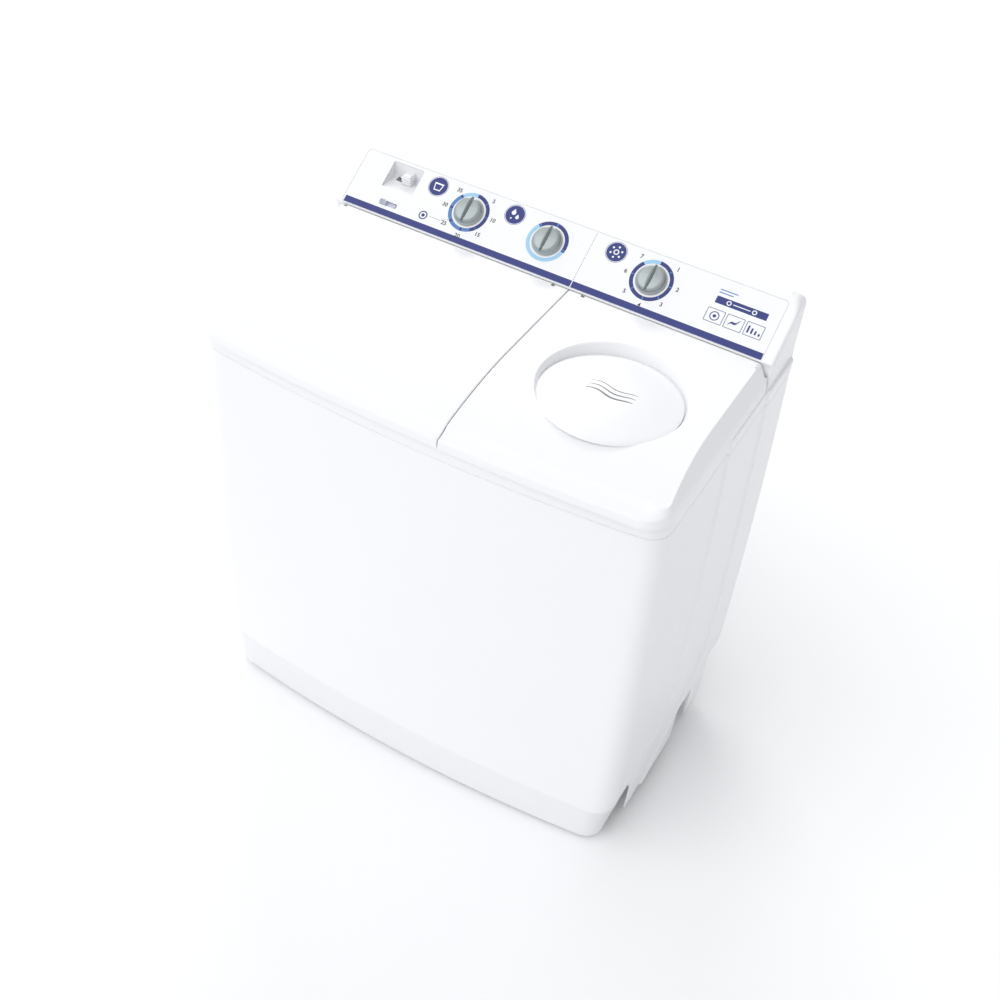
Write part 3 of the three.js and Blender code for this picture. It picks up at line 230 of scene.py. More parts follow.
def make_materials():
    white = (0.865, 0.872, 0.888)
    return {
        "white_shell": surface("white_gloss_plastic", white, 0.34, 260, 0.03, 0.03, 0.006),
        "base_grey": surface("white_matt_plastic", (0.825, 0.833, 0.852), 0.48, 320, 0.06, 0.04, 0.01),
        "tub_white": surface("tub_plastic", (0.80, 0.83, 0.86), 0.34, 800, 0.08, 0.04, 0.015),
        "basket_plastic": surface("basket_plastic", (0.70, 0.78, 0.86), 0.32, 900, 0.07, 0.04, 0.015),
        "fascia_print": surface("fascia_film", (0.85, 0.857, 0.872), 0.3, 300, 0.02, 0.02, 0.004),
        "knob_silver": surface("knob_paint", (0.36, 0.40, 0.40), 0.3, 900, 0.06, 0.03, 0.05, 0.45, 0.3),
        "knob_blade": surface("knob_blade_paint", (0.24, 0.28, 0.28), 0.28, 900, 0.06, 0.03, 0.05, 0.5, 0.3),
        "blue_plastic": surface("blue_plastic", (0.30, 0.50, 0.74), 0.36, 900, 0.08, 0.04, 0.03),
        "slider_plastic": surface("slider_plastic", (0.62, 0.66, 0.78), 0.36, 900, 0.08, 0.04, 0.02),
        "steel": surface(
            "drawn_steel", (0.60, 0.61, 0.63), 0.26, 500, 0.15, 0.03, 0.06, 1.0, stretch=(1, 1, 0.05),
        ),
        "zinc_steel": surface("zinc_plated_steel", (0.52, 0.54, 0.56), 0.4, 160, 0.12, 0.04, 0.12, 0.9),
        "motor_grey": laminated("motor_laminations", (0.20, 0.22, 0.25), 0.7),
        "bearing_alloy": surface("cast_alloy", (0.52, 0.53, 0.54), 0.5, 420, 0.35, 0.12, 0.08, 0.8),
        "rubber": surface("black_rubber", (0.022, 0.022, 0.025), 0.72, 700, 0.3, 0.08, 0.2),
        "dark_plastic": surface("dark_plastic", (0.045, 0.048, 0.055), 0.5, 900, 0.2, 0.06, 0.1),
        # shadow_grey: a darker copy of the white plastic, painted shade for the fill notch
        "shadow_grey": surface("recess_painted_shade", (0.82, 0.83, 0.85), 0.45, 900, 0.08, 0.04, 0.01),
        "ink_navy": surface("navy_ink", (0.0115, 0.024, 0.185), 0.32, 700, 0.02, 0.01, 0.06),
        "ink_mid": surface("mid_blue_ink", (0.075, 0.20, 0.47), 0.32, 700, 0.02, 0.01, 0.05),
        "ink_light": surface("light_blue_ink", (0.33, 0.58, 0.80), 0.32, 700, 0.02, 0.01, 0.04),
        "ink_black": surface("black_ink", (0.02, 0.02, 0.022), 0.35, 700, 0.02, 0.01, 0.05),
        "ink_grey": surface("grey_ink", (0.17, 0.17, 0.18), 0.35, 700, 0.02, 0.01, 0.05),
        "ink_white": surface("white_ink", (0.9, 0.91, 0.93), 0.35, 700, 0.02, 0.01, 0.01),
    }


# ---------------------------------------------------------------- making meshes

def new_object(name, mesh):
    made = bpy.data.objects.new(name, mesh)
    SCENE.collection.objects.link(made)
    return made


def mesh_object(name, points, faces):
    mesh = bpy.data.meshes.new(name)
    mesh.from_pydata([Vector(p) * MM for p in points], [], faces)
    mesh.validate()
    work = bmesh.new()
    work.from_mesh(mesh)
    bmesh.ops.remove_doubles(work, verts=work.verts, dist=0.001 * MM)
    bmesh.ops.recalc_face_normals(work, faces=work.faces)
    work.to_mesh(mesh)
    work.free()
    return new_object(name, mesh)


def bake(obj):
    """Turns the modifiers into mesh."""
    bpy.context.view_layer.update()
    graph = bpy.context.evaluated_depsgraph_get()
    mesh = bpy.data.meshes.new_from_object(obj.evaluated_get(graph))
    obj.modifiers.clear()
    obj.data = mesh
    return obj


def with_modifier(obj, kind, **settings):
    modifier = obj.modifiers.new(kind.lower(), kind)
    for key, value in settings.items():
        setattr(modifier, key, value)
    return bake(obj)


def rounded(obj, radius, segments=3, angle=40):
    return with_modifier(obj, "BEVEL", width=radius * MM, segments=segments, limit_method="ANGLE",
                         angle_limit=math.radians(angle), use_clamp_overlap=True,
                         miter_outer="MITER_ARC")


def combine(obj, tools, operation):
    for tool in tools:
        with_modifier(obj, "BOOLEAN", object=tool, operation=operation, solver="EXACT")
        bpy.data.objects.remove(tool)
    return obj


def cut(obj, *tools):
    return combine(obj, tools, "DIFFERENCE")


def joined(name, pieces):
    """One object from several, each left as it is."""
    work = bmesh.new()
    for piece in pieces:
        mesh = piece.data.copy()
        mesh.transform(piece.matrix_world)
        work.from_mesh(mesh)
        bpy.data.objects.remove(piece)
    mesh = bpy.data.meshes.new(name)
    work.to_mesh(mesh)
    work.free()
    return new_object(name, mesh)


def moved(obj, matrix):
    obj.data.transform(matrix)
    return obj


def loft(name, rings, caps=(False, False), wrap=False):
    """A skin over rings of equal length; a cap closes an end, and wrap joins the last ring to the first."""
    count = len(rings[0])
    points = [p for ring in rings for p in ring]
    faces = []
    for k in range(len(rings) if wrap else len(rings) - 1):
        here, above = k * count, (k + 1) % len(rings) * count
        for i in range(count):
            j = (i + 1) % count
            faces.append((here + i, here + j, above + j, above + i))
    if caps[0]:
        faces.append(tuple(range(count)))
    if caps[1]:
        last = (len(rings) - 1) * count
        faces.append(tuple(range(last, last + count)))
    return mesh_object(name, points, faces)


def revolve(name, profile, x, y, sides=96, lift=0.0):
    """Turns radius and height pairs round an upright axis."""
    rings = []
    for radius, height in profile:
        reach = max(radius, 0.0)
        rings.append([
            (
                x + reach * math.cos(i * math.tau / sides),
                y + reach * math.sin(i * math.tau / sides), height + lift,
            )
            for i in range(sides)
        ])
    return loft(name, rings)


def bend(start, control, end, count):
    """Points of a quadratic curve, without its start."""
    a, b, c = Vector(start), Vector(control), Vector(end)
    return [
        tuple(a * (1 - t) ** 2 + b * 2 * t * (1 - t) + c * t * t)
        for t in (k / count for k in range(1, count + 1))
    ]


def soften(points, radius, closed=False, count=4):
    """Rounds the corners of a line of points."""
    made = []
    last = len(points) - 1
    for i, point in enumerate(points):
        if not closed and i in (0, last):
            made.append(tuple(point))
            continue
        here = Vector(point)
        before = Vector(points[i - 1]) - here
        after = Vector(points[(i + 1) % len(points)]) - here
        reach = min(radius, before.length * 0.45, after.length * 0.45)
        start = here + before.normalized() * reach
        end = here + after.normalized() * reach
        made += [tuple(start), *bend(start, here, end, count)]
    return made


def prism(name, outline, low, high, axis="z"):
    """An outline run along an axis; along x the outline is (y, z), along y it is (x, z)."""
    put = {
        "z": lambda a, b, c: (a, b, c),
        "x": lambda a, b, c: (c, a, b),
        "y": lambda a, b, c: (a, c, b),
    }[axis]
    rings = [[put(a, b, c) for a, b in outline] for c in (low, high)]
    return loft(name, rings, caps=(True, True))


def brick(name, low, high):
    (x0, y0, z0), (x1, y1, z1) = low, high
    return prism(name, [(x0, y0), (x1, y0), (x1, y1), (x0, y1)], z0, z1)


def soft_brick(name, low, high, radius, segments=3):
    return rounded(brick(name, low, high), radius, segments)


def rod(name, x, y, low, high, radius, sides=48):
    return prism(name, circle(x, y, radius, sides), low, high)


def circle(x, y, radius, sides=64):
    return [
        (x + radius * math.cos(i * math.tau / sides), y + radius * math.sin(i * math.tau / sides))
        for i in range(sides)
    ]


def box_outline(x0, y0, x1, y1, radius=0.0, count=6):
    corners = [(x0, y0), (x1, y0), (x1, y1), (x0, y1)]
    return soften(corners, radius, closed=True, count=count) if radius else corners


def plate(name, loops, low, high, edge=0.0):
    """A flat sheet with holes and softened edges, drawn as loops in its own plane."""
    curve = bpy.data.curves.new(name, "CURVE")
    curve.dimensions = "2D"
    curve.fill_mode = "BOTH"
    curve.extrude = ((high - low) / 2 - edge) * MM
    curve.bevel_depth = edge * MM
    curve.bevel_resolution = 1
    curve.offset = -edge * MM
    for loop in loops:
        spline = curve.splines.new("POLY")
        spline.points.add(len(loop) - 1)
        for point, (x, y) in zip(spline.points, loop):
            point.co = (x * MM, y * MM, 0, 1)
        spline.use_cyclic_u = True
    made = new_object(name, curve)
    bpy.context.view_layer.update()
    graph = bpy.context.evaluated_depsgraph_get()
    mesh = bpy.data.meshes.new_from_object(made.evaluated_get(graph))
    bpy.data.objects.remove(made)
    mesh.transform(Matrix.Translation((0, 0, (low + high) / 2 * MM)))
    work = bmesh.new()
    work.from_mesh(mesh)
    bmesh.ops.remove_doubles(work, verts=work.verts, dist=0.001 * MM)
    work.to_mesh(mesh)
    work.free()
    return new_object(name, mesh)


LOOKS = make_materials()
SHOWN = set()


def done(obj, body, slot, look=None, stands_for=(), smooth=32):
    """Finishes a piece: its material, its shading, its body and the CAD nodes that it stands for."""
    obj.data.materials.clear()
    obj.data.materials.append(LOOKS[look or slot])
    for polygon in obj.data.polygons:
        polygon.material_index = 0
    obj.data.shade_smooth()
    obj.data.set_sharp_from_angle(angle=math.radians(smooth))
    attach(obj, body)
    if stands_for:
        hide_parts(*stands_for)
        SHOWN.update(stands_for)
    return obj


# ---------------------------------------------------------------- the plan of the walls

FRAME_LOW, FRAME_HIGH = size_of("top_frame")
WALL_LOW, WALL_HIGH = size_of("cabinet_shell")
BASE_LOW, BASE_HIGH = size_of("base_frame")
STEP = 4.0
STEP_RAMP = 3.2
HALF = FRAME_HIGH.x - 2 * STEP
BULGE = 9.0
BULGE_AT = 370.0
BOW = 30.0
CORNER = 42.0
FRONT_CORNER = WALL_LOW.y + BOW
REAR_CORNER = 12.0
STEP_LINES = [(6.0, 230.0, 156.0, 130.0), (171.0, 260.0, 80.0, 110.0)]


def ease(t):
    t = min(max(t, 0.0), 1.0)
    return t * t * (3 - 2 * t)


def step_line(index, z):
    """Where a side panel's step runs at a height: straight above, swept forward near the bottom."""
    y, start, sweep, over = STEP_LINES[index]
    return y - sweep * (max(start - z, 0) / over) ** 1.5


def swell(z):
    reach = WALL_HIGH.z - BULGE_AT
    return 1 + BULGE * (1 - ((z - BULGE_AT) / reach) ** 2) / HALF


def side_columns(z, start, end):
    """Places along a side at a height, gathered at the two steps."""
    made = []
    here = start
    for index in (0, 1):
        line = min(max(step_line(index, z), here + STEP_RAMP + 1), end - 20)
        made += [here + (line - STEP_RAMP - here) * k / 9 for k in range(9)]
        made += [line + STEP_RAMP * k / 4 for k in range(-4, 5)]
        here = line + STEP_RAMP + 0.5
    made += [here + (end - here) * k / 6 for k in range(7)]
    return made


def step_out(y, z):
    return sum(STEP * ease((y - step_line(i, z) + STEP_RAMP) / (2 * STEP_RAMP)) for i in (0, 1))


def wall_ring(z, inset=0.0, rear=None, half=HALF, scale=1.0):
    """The walls' outline at a height, anticlockwise from the front's middle."""
    rear = WALL_HIGH.y if rear is None else rear
    half = half - inset
    front = FRONT_CORNER + inset
    reach = half - CORNER
    right = [(reach * k / 24, front - BOW * (1 - (reach * k / 24 / half) ** 2)) for k in range(25)]
    right += bend(right[-1], (half, front), (half, front + CORNER), 12)
    columns = side_columns(z, front + CORNER, rear - inset - REAR_CORNER)[1:]
    right += [(half + step_out(y, z), y) for y in columns]
    side, y = right[-1]
    back = rear - inset
    right += bend((side, y), (side, back), (side - REAR_CORNER, back), 6)
    right += [((side - REAR_CORNER) * (1 - k / 12), back) for k in range(1, 13)]
    left = [(-x, y) for x, y in reversed(right[1:-1])]
    return [(x * scale, y, z) for x, y in right + left]


# ---------------------------------------------------------------- cabinet and base

def cabinet():
    bottom, top = WALL_LOW.z, WALL_HIGH.z
    levels = [(bottom, 1.6), (bottom + 0.5, 0.6), (bottom + 1.6, 0.0)]
    levels += [(z, 0.0) for z in range(32, 280, 8)]
    levels += [(280 + (top - 284) * k / 16, 0.0) for k in range(17)]
    levels += [(top - 1.6, 0.0), (top - 0.5, 0.5), (top, 1.5)]
    inner = [
        (top, 2.2), (top - 1.5, 3.0),
    ] + [(z, 3.0) for z, inset in reversed(levels[3:-3])] + [(bottom, 3.0)]
    shell = loft("cabinet", [wall_ring(z, inset, scale=swell(z)) for z, inset in levels + inner], wrap=True)
    far = 700
    base_top = BASE_HIGH.z - 32.4
    skirts = [(-150.0, 66.0), (140.0, 216.4)]
    away = [
        soft_cutter("front_cut", -far, skirts[0][0], base_top),
        soft_cutter("middle_cut", skirts[0][1], skirts[1][0], base_top),
        soft_cutter("rear_cut", skirts[1][1], far, 148.0),
    ]
    away.append(brick("service_cut", (-395, WALL_HIGH.y - 8, 190), (395, far, 850)))
    cut(shell, *away)
    done(shell, "cabinet", "white_shell", stands_for=["cabinet_shell"])


def soft_cutter(name, y0, y1, top):
    """A cutter from below the cabinet up to a height, with round upper corners."""
    low = -60
    radius = 9
    outline = [(y0, low), (y1, low), (y1, top), (y0, top)]
    line = soften(outline, radius, closed=True, count=6)
    return prism(name, line, -700, 700, "x")


def base():
    low, high = BASE_LOW.z, 119.6
    half, front_corner, rear = 457.0, FRONT_CORNER + 1, 213.0
    taper, undercut = 0.014, 8.0

    def ring(z, inset):
        drop = (high - z) / (high - low)
        span = half - inset
        front = front_corner + inset
        reach = span - 40
        right = [(reach * k / 24, front - BOW * (1 - (reach * k / 24 / span) ** 2)) for k in range(25)]
        right += bend(right[-1], (span, front), (span, front + 40), 12)
        right += [(span, front + 40 + (rear - 50 - front) * k / 12) for k in range(1, 12)]
        back = rear - inset
        right += bend((span, back - 10), (span, back), (span - 10, back), 6)
        right += [((span - 10) * (1 - k / 8), back) for k in range(1, 9)]
        left = [(-x, y) for x, y in reversed(right[1:-1])]
        return [(x * (1 - taper * drop), y + (undercut * drop if y < 0 else 0), z) for x, y in right + left]

    levels = [(low, 9.0), (low + 0.7, 5.2), (low + 2.4, 2.4), (low + 5.2, 0.7), (low + 9, 0.0)]
    levels += [(low + 9 + (high - low - 10.5) * k / 8, 0.0) for k in range(1, 9)]
    levels += [(high - 0.5, 0.4), (high, 1.2)]
    levels += [(high, 2.8), (high - 0.5, 3.6), (high - 1.5, 4.0)]
    levels += [(low + 20, 4.0), (low + 9, 4.6), (low + 5.4, 6.6), (low + 4, 10.0)]
    tray = loft("base", [ring(z, inset) for z, inset in levels], caps=(True, True))
    hole = prism("floor_hole", box_outline(-380, -150, -140, 130, 30), -20, 60)
    arches = [
        prism(
            "arch", soften([(s * 440, -60), (s * 700, -60), (s * 700, 24), (s * 440, 24)], 8, True),
            -208, 700, "y",
        )
        for s in (-1, 1)
    ]
    drain_low, drain_high = size_of("drain_outlet")
    x, z = (drain_low.x + drain_high.x) / 2, (drain_low.z + drain_high.z) / 2
    drain_way = prism("drain_way", circle(x, z, 16), 200, 230, "y")
    cut(tray, hole, *arches, drain_way)
    riser = soft_brick("riser", (-446, 209.5, 108), (446, 212.5, 151.4), 1.2)
    shelf = soft_brick("shelf", (-446, 211, 149), (446, 287, 152), 1.2)
    ribs = [soft_brick("rib", (x0 - 2, 212, 100), (x0 + 2, 240, 149.5), 0.8) for x0 in range(-400, 401, 100)]
    made = joined("base", [tray, riser, shelf, *ribs])
    done(made, "cabinet", "base_grey", stands_for=["base_frame"])


def feet():
    for name in ("foot_front_left", "foot_front_right", "foot_rear_left", "foot_rear_right"):
        low, high = size_of(name)
        x, y = (low.x + high.x) / 2, (low.y + high.y) / 2
        radius = (high.x - low.x) / 2
        pad = 7.6
        profile = [(0, 1.2), (radius - 9, 1.2), (radius - 8, 0), (radius - 3, 0), (radius - 0.5, 1.4)]
        for k in range(3):
            z = 1.8 + k * 1.8
            profile += [(radius, z), (radius, z + 0.8), (radius - 1, z + 1.1), (radius - 1, z + 1.5)]
        profile += [
            (radius - 1.4, pad), (5.2, pad), (5, pad + 1), (5, high.z - 2), (3.6, high.z),
            (0, high.z),
        ]
        done(revolve(name + "_pad", profile, x, y, 64), "cabinet", "rubber", stands_for=[name])


# ---------------------------------------------------------------- top frame

TUB_LOW, TUB_HIGH = size_of("wash_tub")
SPIN_LOW, SPIN_HIGH = size_of("spin_outer_tub")
SPIN_X, SPIN_Y = (SPIN_LOW.x + SPIN_HIGH.x) / 2, (SPIN_LOW.y + SPIN_HIGH.y) / 2
TUB_FLANGE = 14.0
SPIN_MOUTH = 154.0


def tub_outline(inset, count=12):
    """The wash tub's inner outline, moved in by inset."""
    edge = TUB_FLANGE + inset
    radius = 82 - inset
    x0, y0, x1, y1 = TUB_LOW.x + edge, TUB_LOW.y + edge, TUB_HIGH.x - edge, TUB_HIGH.y - edge
    made = []
    centres = [
        (x1 - radius, y1 - radius), (x0 + radius, y1 - radius), (x0 + radius, y0 + radius),
        (x1 - radius, y0 + radius),
    ]
    for quarter, (cx, cy) in enumerate(centres):
        for k in range(count + 1):
            angle = (quarter + k / count) * math.pi / 2
            made.append((cx + radius * math.cos(angle), cy + radius * math.sin(angle)))
    return made


def top_frame():
    low, high = FRAME_LOW.z, FRAME_HIGH.z
    rear = FRAME_HIGH.y
    deck_low, deck_high, rim = 904.0, 908.0, 11.0
    band = [(low, 1.4), (low + 0.6, 0.4), (low + 1.6, 0), (high - 2.4, 0), (high - 0.8, 0.6), (high, 2.2)]
    outer = loft("top_frame", [wall_ring(z, inset, rear) for z, inset in band], caps=(True, True))
    below = prism("below", [(x, y) for x, y, _ in wall_ring(low, 4, rear)], 0, deck_low)
    tray_front = [(x, y) for x, y, _ in wall_ring(900, rim, 164)]
    limit = HALF - rim
    above = prism("above", [(max(-limit, min(limit, x)), y) for x, y in tray_front], deck_high, 1200)
    way = prism("way", box_outline(-425, 189, 425, 273, 12), 0, 1200)
    wash = prism("wash_mouth", tub_outline(6), 0, 1200)
    spin = rod("spin_mouth", SPIN_X, SPIN_Y, 0, 1200, SPIN_MOUTH, 128)
    cut(outer, below, above, way, wash, spin)
    rim_lift = 912.0
    wash_rings = [
        (6, deck_low + 0.6), (6, rim_lift - 1), (5, rim_lift), (3, rim_lift), (2, rim_lift - 1.2),
        (2, deck_high - 1),
    ]
    wash_rim = loft("wash_rim", [[(x, y, z) for x, y in tub_outline(inset)] for inset, z in wash_rings])
    mouth = SPIN_MOUTH
    spin_rings = [
        (mouth, deck_low + 0.6), (mouth, rim_lift - 1), (mouth + 1, rim_lift), (mouth + 3, rim_lift),
        (mouth + 4, rim_lift - 1.2), (mouth + 4, deck_high - 1),
    ]
    spin_rim = revolve("spin_rim", spin_rings, SPIN_X, SPIN_Y, 128)
    ears = [cover_ear(side) for side in (-1, 1)]
    made = joined("top_frame_deck", [outer, wash_rim, spin_rim, *ears])
    done(made, "cabinet", "white_shell", stands_for=["top_frame"])


def cover_ear(side):
    """One of the two ears that hold the safety cover's stub pins."""
    y, z = COVER_EAR_Y, COVER_EAR_Z
    middle = SPIN_X + side * 45
    outline = [
        (y - 5, 904.5), (y + 5, 904.5), (y + 4.6, z), (y + 3.2, z + 3.2), (y, z + 4.5),
        (y - 3.2, z + 3.2), (y - 4.6, z),
    ]
    ear = prism("ear", soften(outline, 1.0, True, 3), middle - 3, middle + 3, "x")
    return cut(ear, prism("bore", circle(y, z, 2.8, 32), middle - 9, middle + 9, "x"))


# ---------------------------------------------------------------- lids

LID_LOW, LID_HIGH = size_of("wash_lid")
SPIN_LID_LOW, SPIN_LID_HIGH = size_of("spin_lid")
LID_HALF = SPIN_LID_HIGH.x
LID_TOP = LID_HIGH.z
LID_BOTTOM = LID_LOW.z
LID_REAR = LID_HIGH.y
LID_FRONT = LID_LOW.y
LID_BOW = 22.0
LID_FLAT_END = -60.0
CREASE_Y = LID_FRONT + 32
CREASE_Z = 951.5
HINGE_Y, HINGE_Z = 153.5, 971.0
COVER_EAR_Y, COVER_EAR_Z = 108.0, 914.4
LIP_Z = 937.5
FLANK_FOOT = 1.5
FLANK_Z = 940.0
FLANK_SLOPE = 37 / 19.5
LID_CORNER = 42.0
LID_WALL = 1.8
RECESS_RADIUS = 134.0
RECESS_SLOPE = math.tan(math.radians(2.8))
DOME_LOW, DOME_HIGH = size_of("spin_lid_dome")
RECESS_FLOOR = 960.0


def smooth_min(a, b, k):
    h = max(k - abs(a - b), 0.0) / k
    return min(a, b) - h * h * k / 4


def lid_edge(x, y):
    """Distance in from the lid's outline, and how far the nearest edge is a front edge, from 0 to 1."""
    bow = 1 - LID_BOW / -LID_FRONT * (x / LID_HALF) ** 2
    front = y - LID_FRONT * bow
    side = LID_HALF - abs(x)
    u, v = max(LID_CORNER - side, 0), max(LID_CORNER - front, 0)
    if u > 0 and v > 0:
        return LID_CORNER - math.hypot(u, v), math.atan2(v, u) / (math.pi / 2)
    if front < side:
        return front, 1.0
    return side, 0.0


def lid_crown(x, y):
    bow = 1 - LID_BOW / -LID_FRONT * (x / LID_HALF) ** 2
    along = y / bow if y < 0 else y
    t = max(LID_FLAT_END - along, 0) / (LID_FLAT_END - CREASE_Y)
    return LID_TOP - (LID_TOP - CREASE_Z) * t * t


def lid_band(x, y):
    """Share of the way from the outline up to the crease, and how far the edge is a front edge."""
    distance, front = lid_edge(x, y)
    weight = ease(front)
    flank = (lid_crown(x, y) - FLANK_Z) / FLANK_SLOPE
    width = flank * (1 - weight) + (CREASE_Y - LID_FRONT) * weight
    return (distance - FLANK_FOOT * (1 - weight)) / width, weight, width


def lid_height(x, y, seam, inner):
    """The lid's top, or its underside when inner is 1: a crown, a bevelled band and steep flanks."""
    share, weight, width = lid_band(x, y)
    crown = lid_crown(x, y)
    foot = FLANK_Z * (1 - weight) + LIP_Z * weight
    edge = foot + (crown - foot) * share
    edge -= 3.0 * max(0.0, 1 - share * width / 2.4) ** 2
    crown -= LID_WALL * inner
    edge -= (3.9 * (1 - weight) + 2.0 * weight) * inner
    top = smooth_min(crown, edge, 2.4 * (1 - weight) + 0.5 * weight)
    for gap in (abs(x - seam), LID_REAR - y):
        top -= 1.4 * max(0.0, 1 - gap / 2.0) ** 2
    return top


def lid_share(x, y, seam):
    """Grows from 0 at the lid's outline; 1 is the crease."""
    across = (seam - x) if seam < 60 else (x - seam)
    return min(lid_band(x, y)[0], across / 20, (LID_REAR - y) / 20)


def recess_height(x, y, top, inner):
    """Lowers the lid's top to the sloping floor and steep wall of the round recess."""
    radius = math.hypot(x - SPIN_X, y - SPIN_Y)
    floor = RECESS_FLOOR - (y - SPIN_Y) * RECESS_SLOPE - LID_WALL * inner
    wall = floor + max(radius - RECESS_RADIUS + 8 - 2.1 * inner, 0) * 2.0
    if radius > RECESS_RADIUS - 12:
        wall = -smooth_min(-floor, -wall, 2.4)
    return smooth_min(top, wall, 3.2)


def lid_front(x):
    return LID_FRONT * (1 - LID_BOW / -LID_FRONT * (x / LID_HALF) ** 2)


def lid_rays(cx, cy, seam, outer):
    """Directions from the middle, with one into each square corner and one on each side of it."""
    angles = {i * math.tau / 300 for i in range(300)}
    corners = [
        (seam, LID_REAR), (outer - math.copysign(FLANK_FOOT, outer), LID_REAR),
        (seam, lid_front(seam)),
    ]
    for x, y in corners:
        angle = math.atan2(y - cy, x - cx) % math.tau
        angles = {a for a in angles if abs(a - angle) > 0.012}
        angles |= {angle - 0.005, angle, angle + 0.005}
    return sorted(angles)


def reach_of(angle, cx, cy, seam, share):
    """How far along a ray the lid's share falls to a value."""
    near, far = 60.0, 700.0
    for _ in range(26):
        middle = (near + far) / 2
        if lid_share(cx + middle * math.cos(angle), cy + middle * math.sin(angle), seam) > share:
            near = middle
        else:
            far = middle
    return near


LID_SHARES = [1.6, 1.45, 1.3, 1.2, 1.14, 1.1, 1.07, 1.04, 1.02, 1.0, 0.98, 0.96, 0.93, 0.9, 0.86, 0.8, 0.7,
              0.6, 0.5, 0.4, 0.3, 0.2, 0.15, 0.1, 0.07, 0.045, 0.025, 0.01, 0.0]


def lid_rings(cx, cy, angles, seam, inner):
    """Rings from the lid's middle out to its rim, on its top or on its underside."""
    recess = seam > 60
    shares = [s for s in LID_SHARES if s > 0.12] if inner else LID_SHARES
    reaches = [[reach_of(a, cx, cy, seam, share) for a in angles] for share in shares]
    start = RECESS_RADIUS + 14 if recess else 100
    radii = [0.0, 50, 100]
    if recess:
        radii += [118, 122] + [RECESS_RADIUS - 10 + k * 0.6 for k in range(24)]
        radii += [RECESS_RADIUS + k for k in (5, 7, 10, 14)]
    rings = [[r] * len(angles) for r in radii]
    rings += [[start + (reach - start) * k / 12 for reach in reaches[0]] for k in range(1, 12)]
    rings += reaches
    made = []
    for ring in rings:
        row = []
        for r, a in zip(ring, angles):
            x, y = cx + r * math.cos(a), cy + r * math.sin(a)
            top = lid_height(x, y, seam, inner)
            row.append((x, y, recess_height(x, y, top, inner) if recess else top))
        made.append(row)
    return made


def lid_wall(rim, seam, inner):
    """Rows that carry the rim down to the lid's lower edge; the back stops higher, over the hinge."""
    tuck = LID_WALL * inner
    rows = []
    for share in (0.3, 0.7, 0.97, 1.0):
        row = []
        for x, y, z in rim:
            rear = LID_REAR - y < 0.4 + tuck * 2 and abs(x) < LID_HALF - 3
            foot = 952.0 if rear and abs(x - seam) > 0.5 else LID_BOTTOM
            push = 0 if rear else FLANK_FOOT * (1 - lid_band(x, y)[1]) * min(share * 1.4, 1)
            push = push if abs(x - seam) > 3 + tuck else 0
            row.append((x + math.copysign(push, x), y, z + (foot - z) * share))
        rows.append(row)
    return rows


def lid_skin(name, seam, outer, cx, cy):
    """A lid with its wall: over the top, down to the lower edge, and back up under it."""
    angles = lid_rays(cx, cy, seam, outer)
    above = lid_rings(cx, cy, angles, seam, 0)
    below = lid_rings(cx, cy, angles, seam, 1)
    above += lid_wall(above[-1], seam, 0)
    below += lid_wall(below[-1], seam, 1)
    return loft(name, above + below[::-1])


def lid_fittings(x0, x1):
    """The cheeks round the hinge lugs, and stiffening ribs under the lid."""
    y, z = HINGE_Y, HINGE_Z
    pieces = []
    for x in (x0 + 30, x1 - 30):
        for side in (-1, 1):
            a, b = sorted((x + side * 4, x + side * 10))
            outline = [(y - 6, 975), (y - 6, 966), (y - 3, 962), (y + 6.4, 962), (y + 6.4, 975)]
            cheek = rounded(prism("cheek", outline, a, b, "x"), 0.8, 2)
            pieces.append(cut(cheek, prism("bore", circle(y, z, 2.6, 24), a - 2, b + 2, "x")))
    for x in (x0 + (x1 - x0) * k / 5 for k in range(1, 5)):
        if abs(x - SPIN_X) > RECESS_RADIUS + 6:
            upper = [(v, lid_crown(x, v) - 1.2) for v in range(-210, 141, 25)]
            rib = prism("rib", upper + [(140, 964), (-120, 957), (-210, 953)], x - 1, x + 1, "x")
            pieces.append(rounded(rib, 0.4, 1))
    return pieces


def hinge_slots(x0, x1):
    slots = [brick("slot", (x - 4, 146.5, 0), (x + 4, 170, LID_TOP - 1)) for x in (x0 + 30, x1 - 30)]
    return slots + [brick("slot_top", (x - 4, HINGE_Y, 960), (x + 4, 170, 990)) for x in (x0 + 30, x1 - 30)]


def lids():
    middle = (LID_LOW.x + LID_HIGH.x) / 2
    left = lid_skin("wash_lid_skin", LID_HIGH.x, LID_LOW.x, middle, -60)
    cut(left, *hinge_slots(LID_LOW.x, LID_HIGH.x))
    left = joined("wash_lid_shell", [left, *lid_fittings(LID_LOW.x, LID_HIGH.x)])
    done(left, "wash_lid", "white_shell", stands_for=["wash_lid"])
    right = lid_skin("spin_lid_skin", SPIN_LID_LOW.x, SPIN_LID_HIGH.x, SPIN_X, SPIN_Y)
    cut(right, *hinge_slots(SPIN_LID_LOW.x, SPIN_LID_HIGH.x))
    right = joined("spin_lid_shell", [right, *lid_fittings(SPIN_LID_LOW.x, SPIN_LID_HIGH.x)])
    done(right, "spin_lid", "white_shell", stands_for=["spin_lid"])
    for name, body in (("wash_lid_hinge_rod", "wash_lid"), ("spin_lid_hinge_rod", "spin_lid")):
        low, high = size_of(name)
        y, z = (low.y + high.y) / 2, (low.z + high.z) / 2
        line = rounded(prism(name + "_bar", circle(y, z, 2.0, 32), low.x, high.x, "x"), 0.5, 2)
        done(line, body, "steel", stands_for=[name])


def on_recess():
    """The sloping frame of the recess's floor, with its origin under the spin lid's dome."""
    tilt = Matrix.Rotation(-math.radians(2.8), 4, "X")
    return Matrix.Translation(Vector((SPIN_X, SPIN_Y, RECESS_FLOOR)) * MM) @ tilt


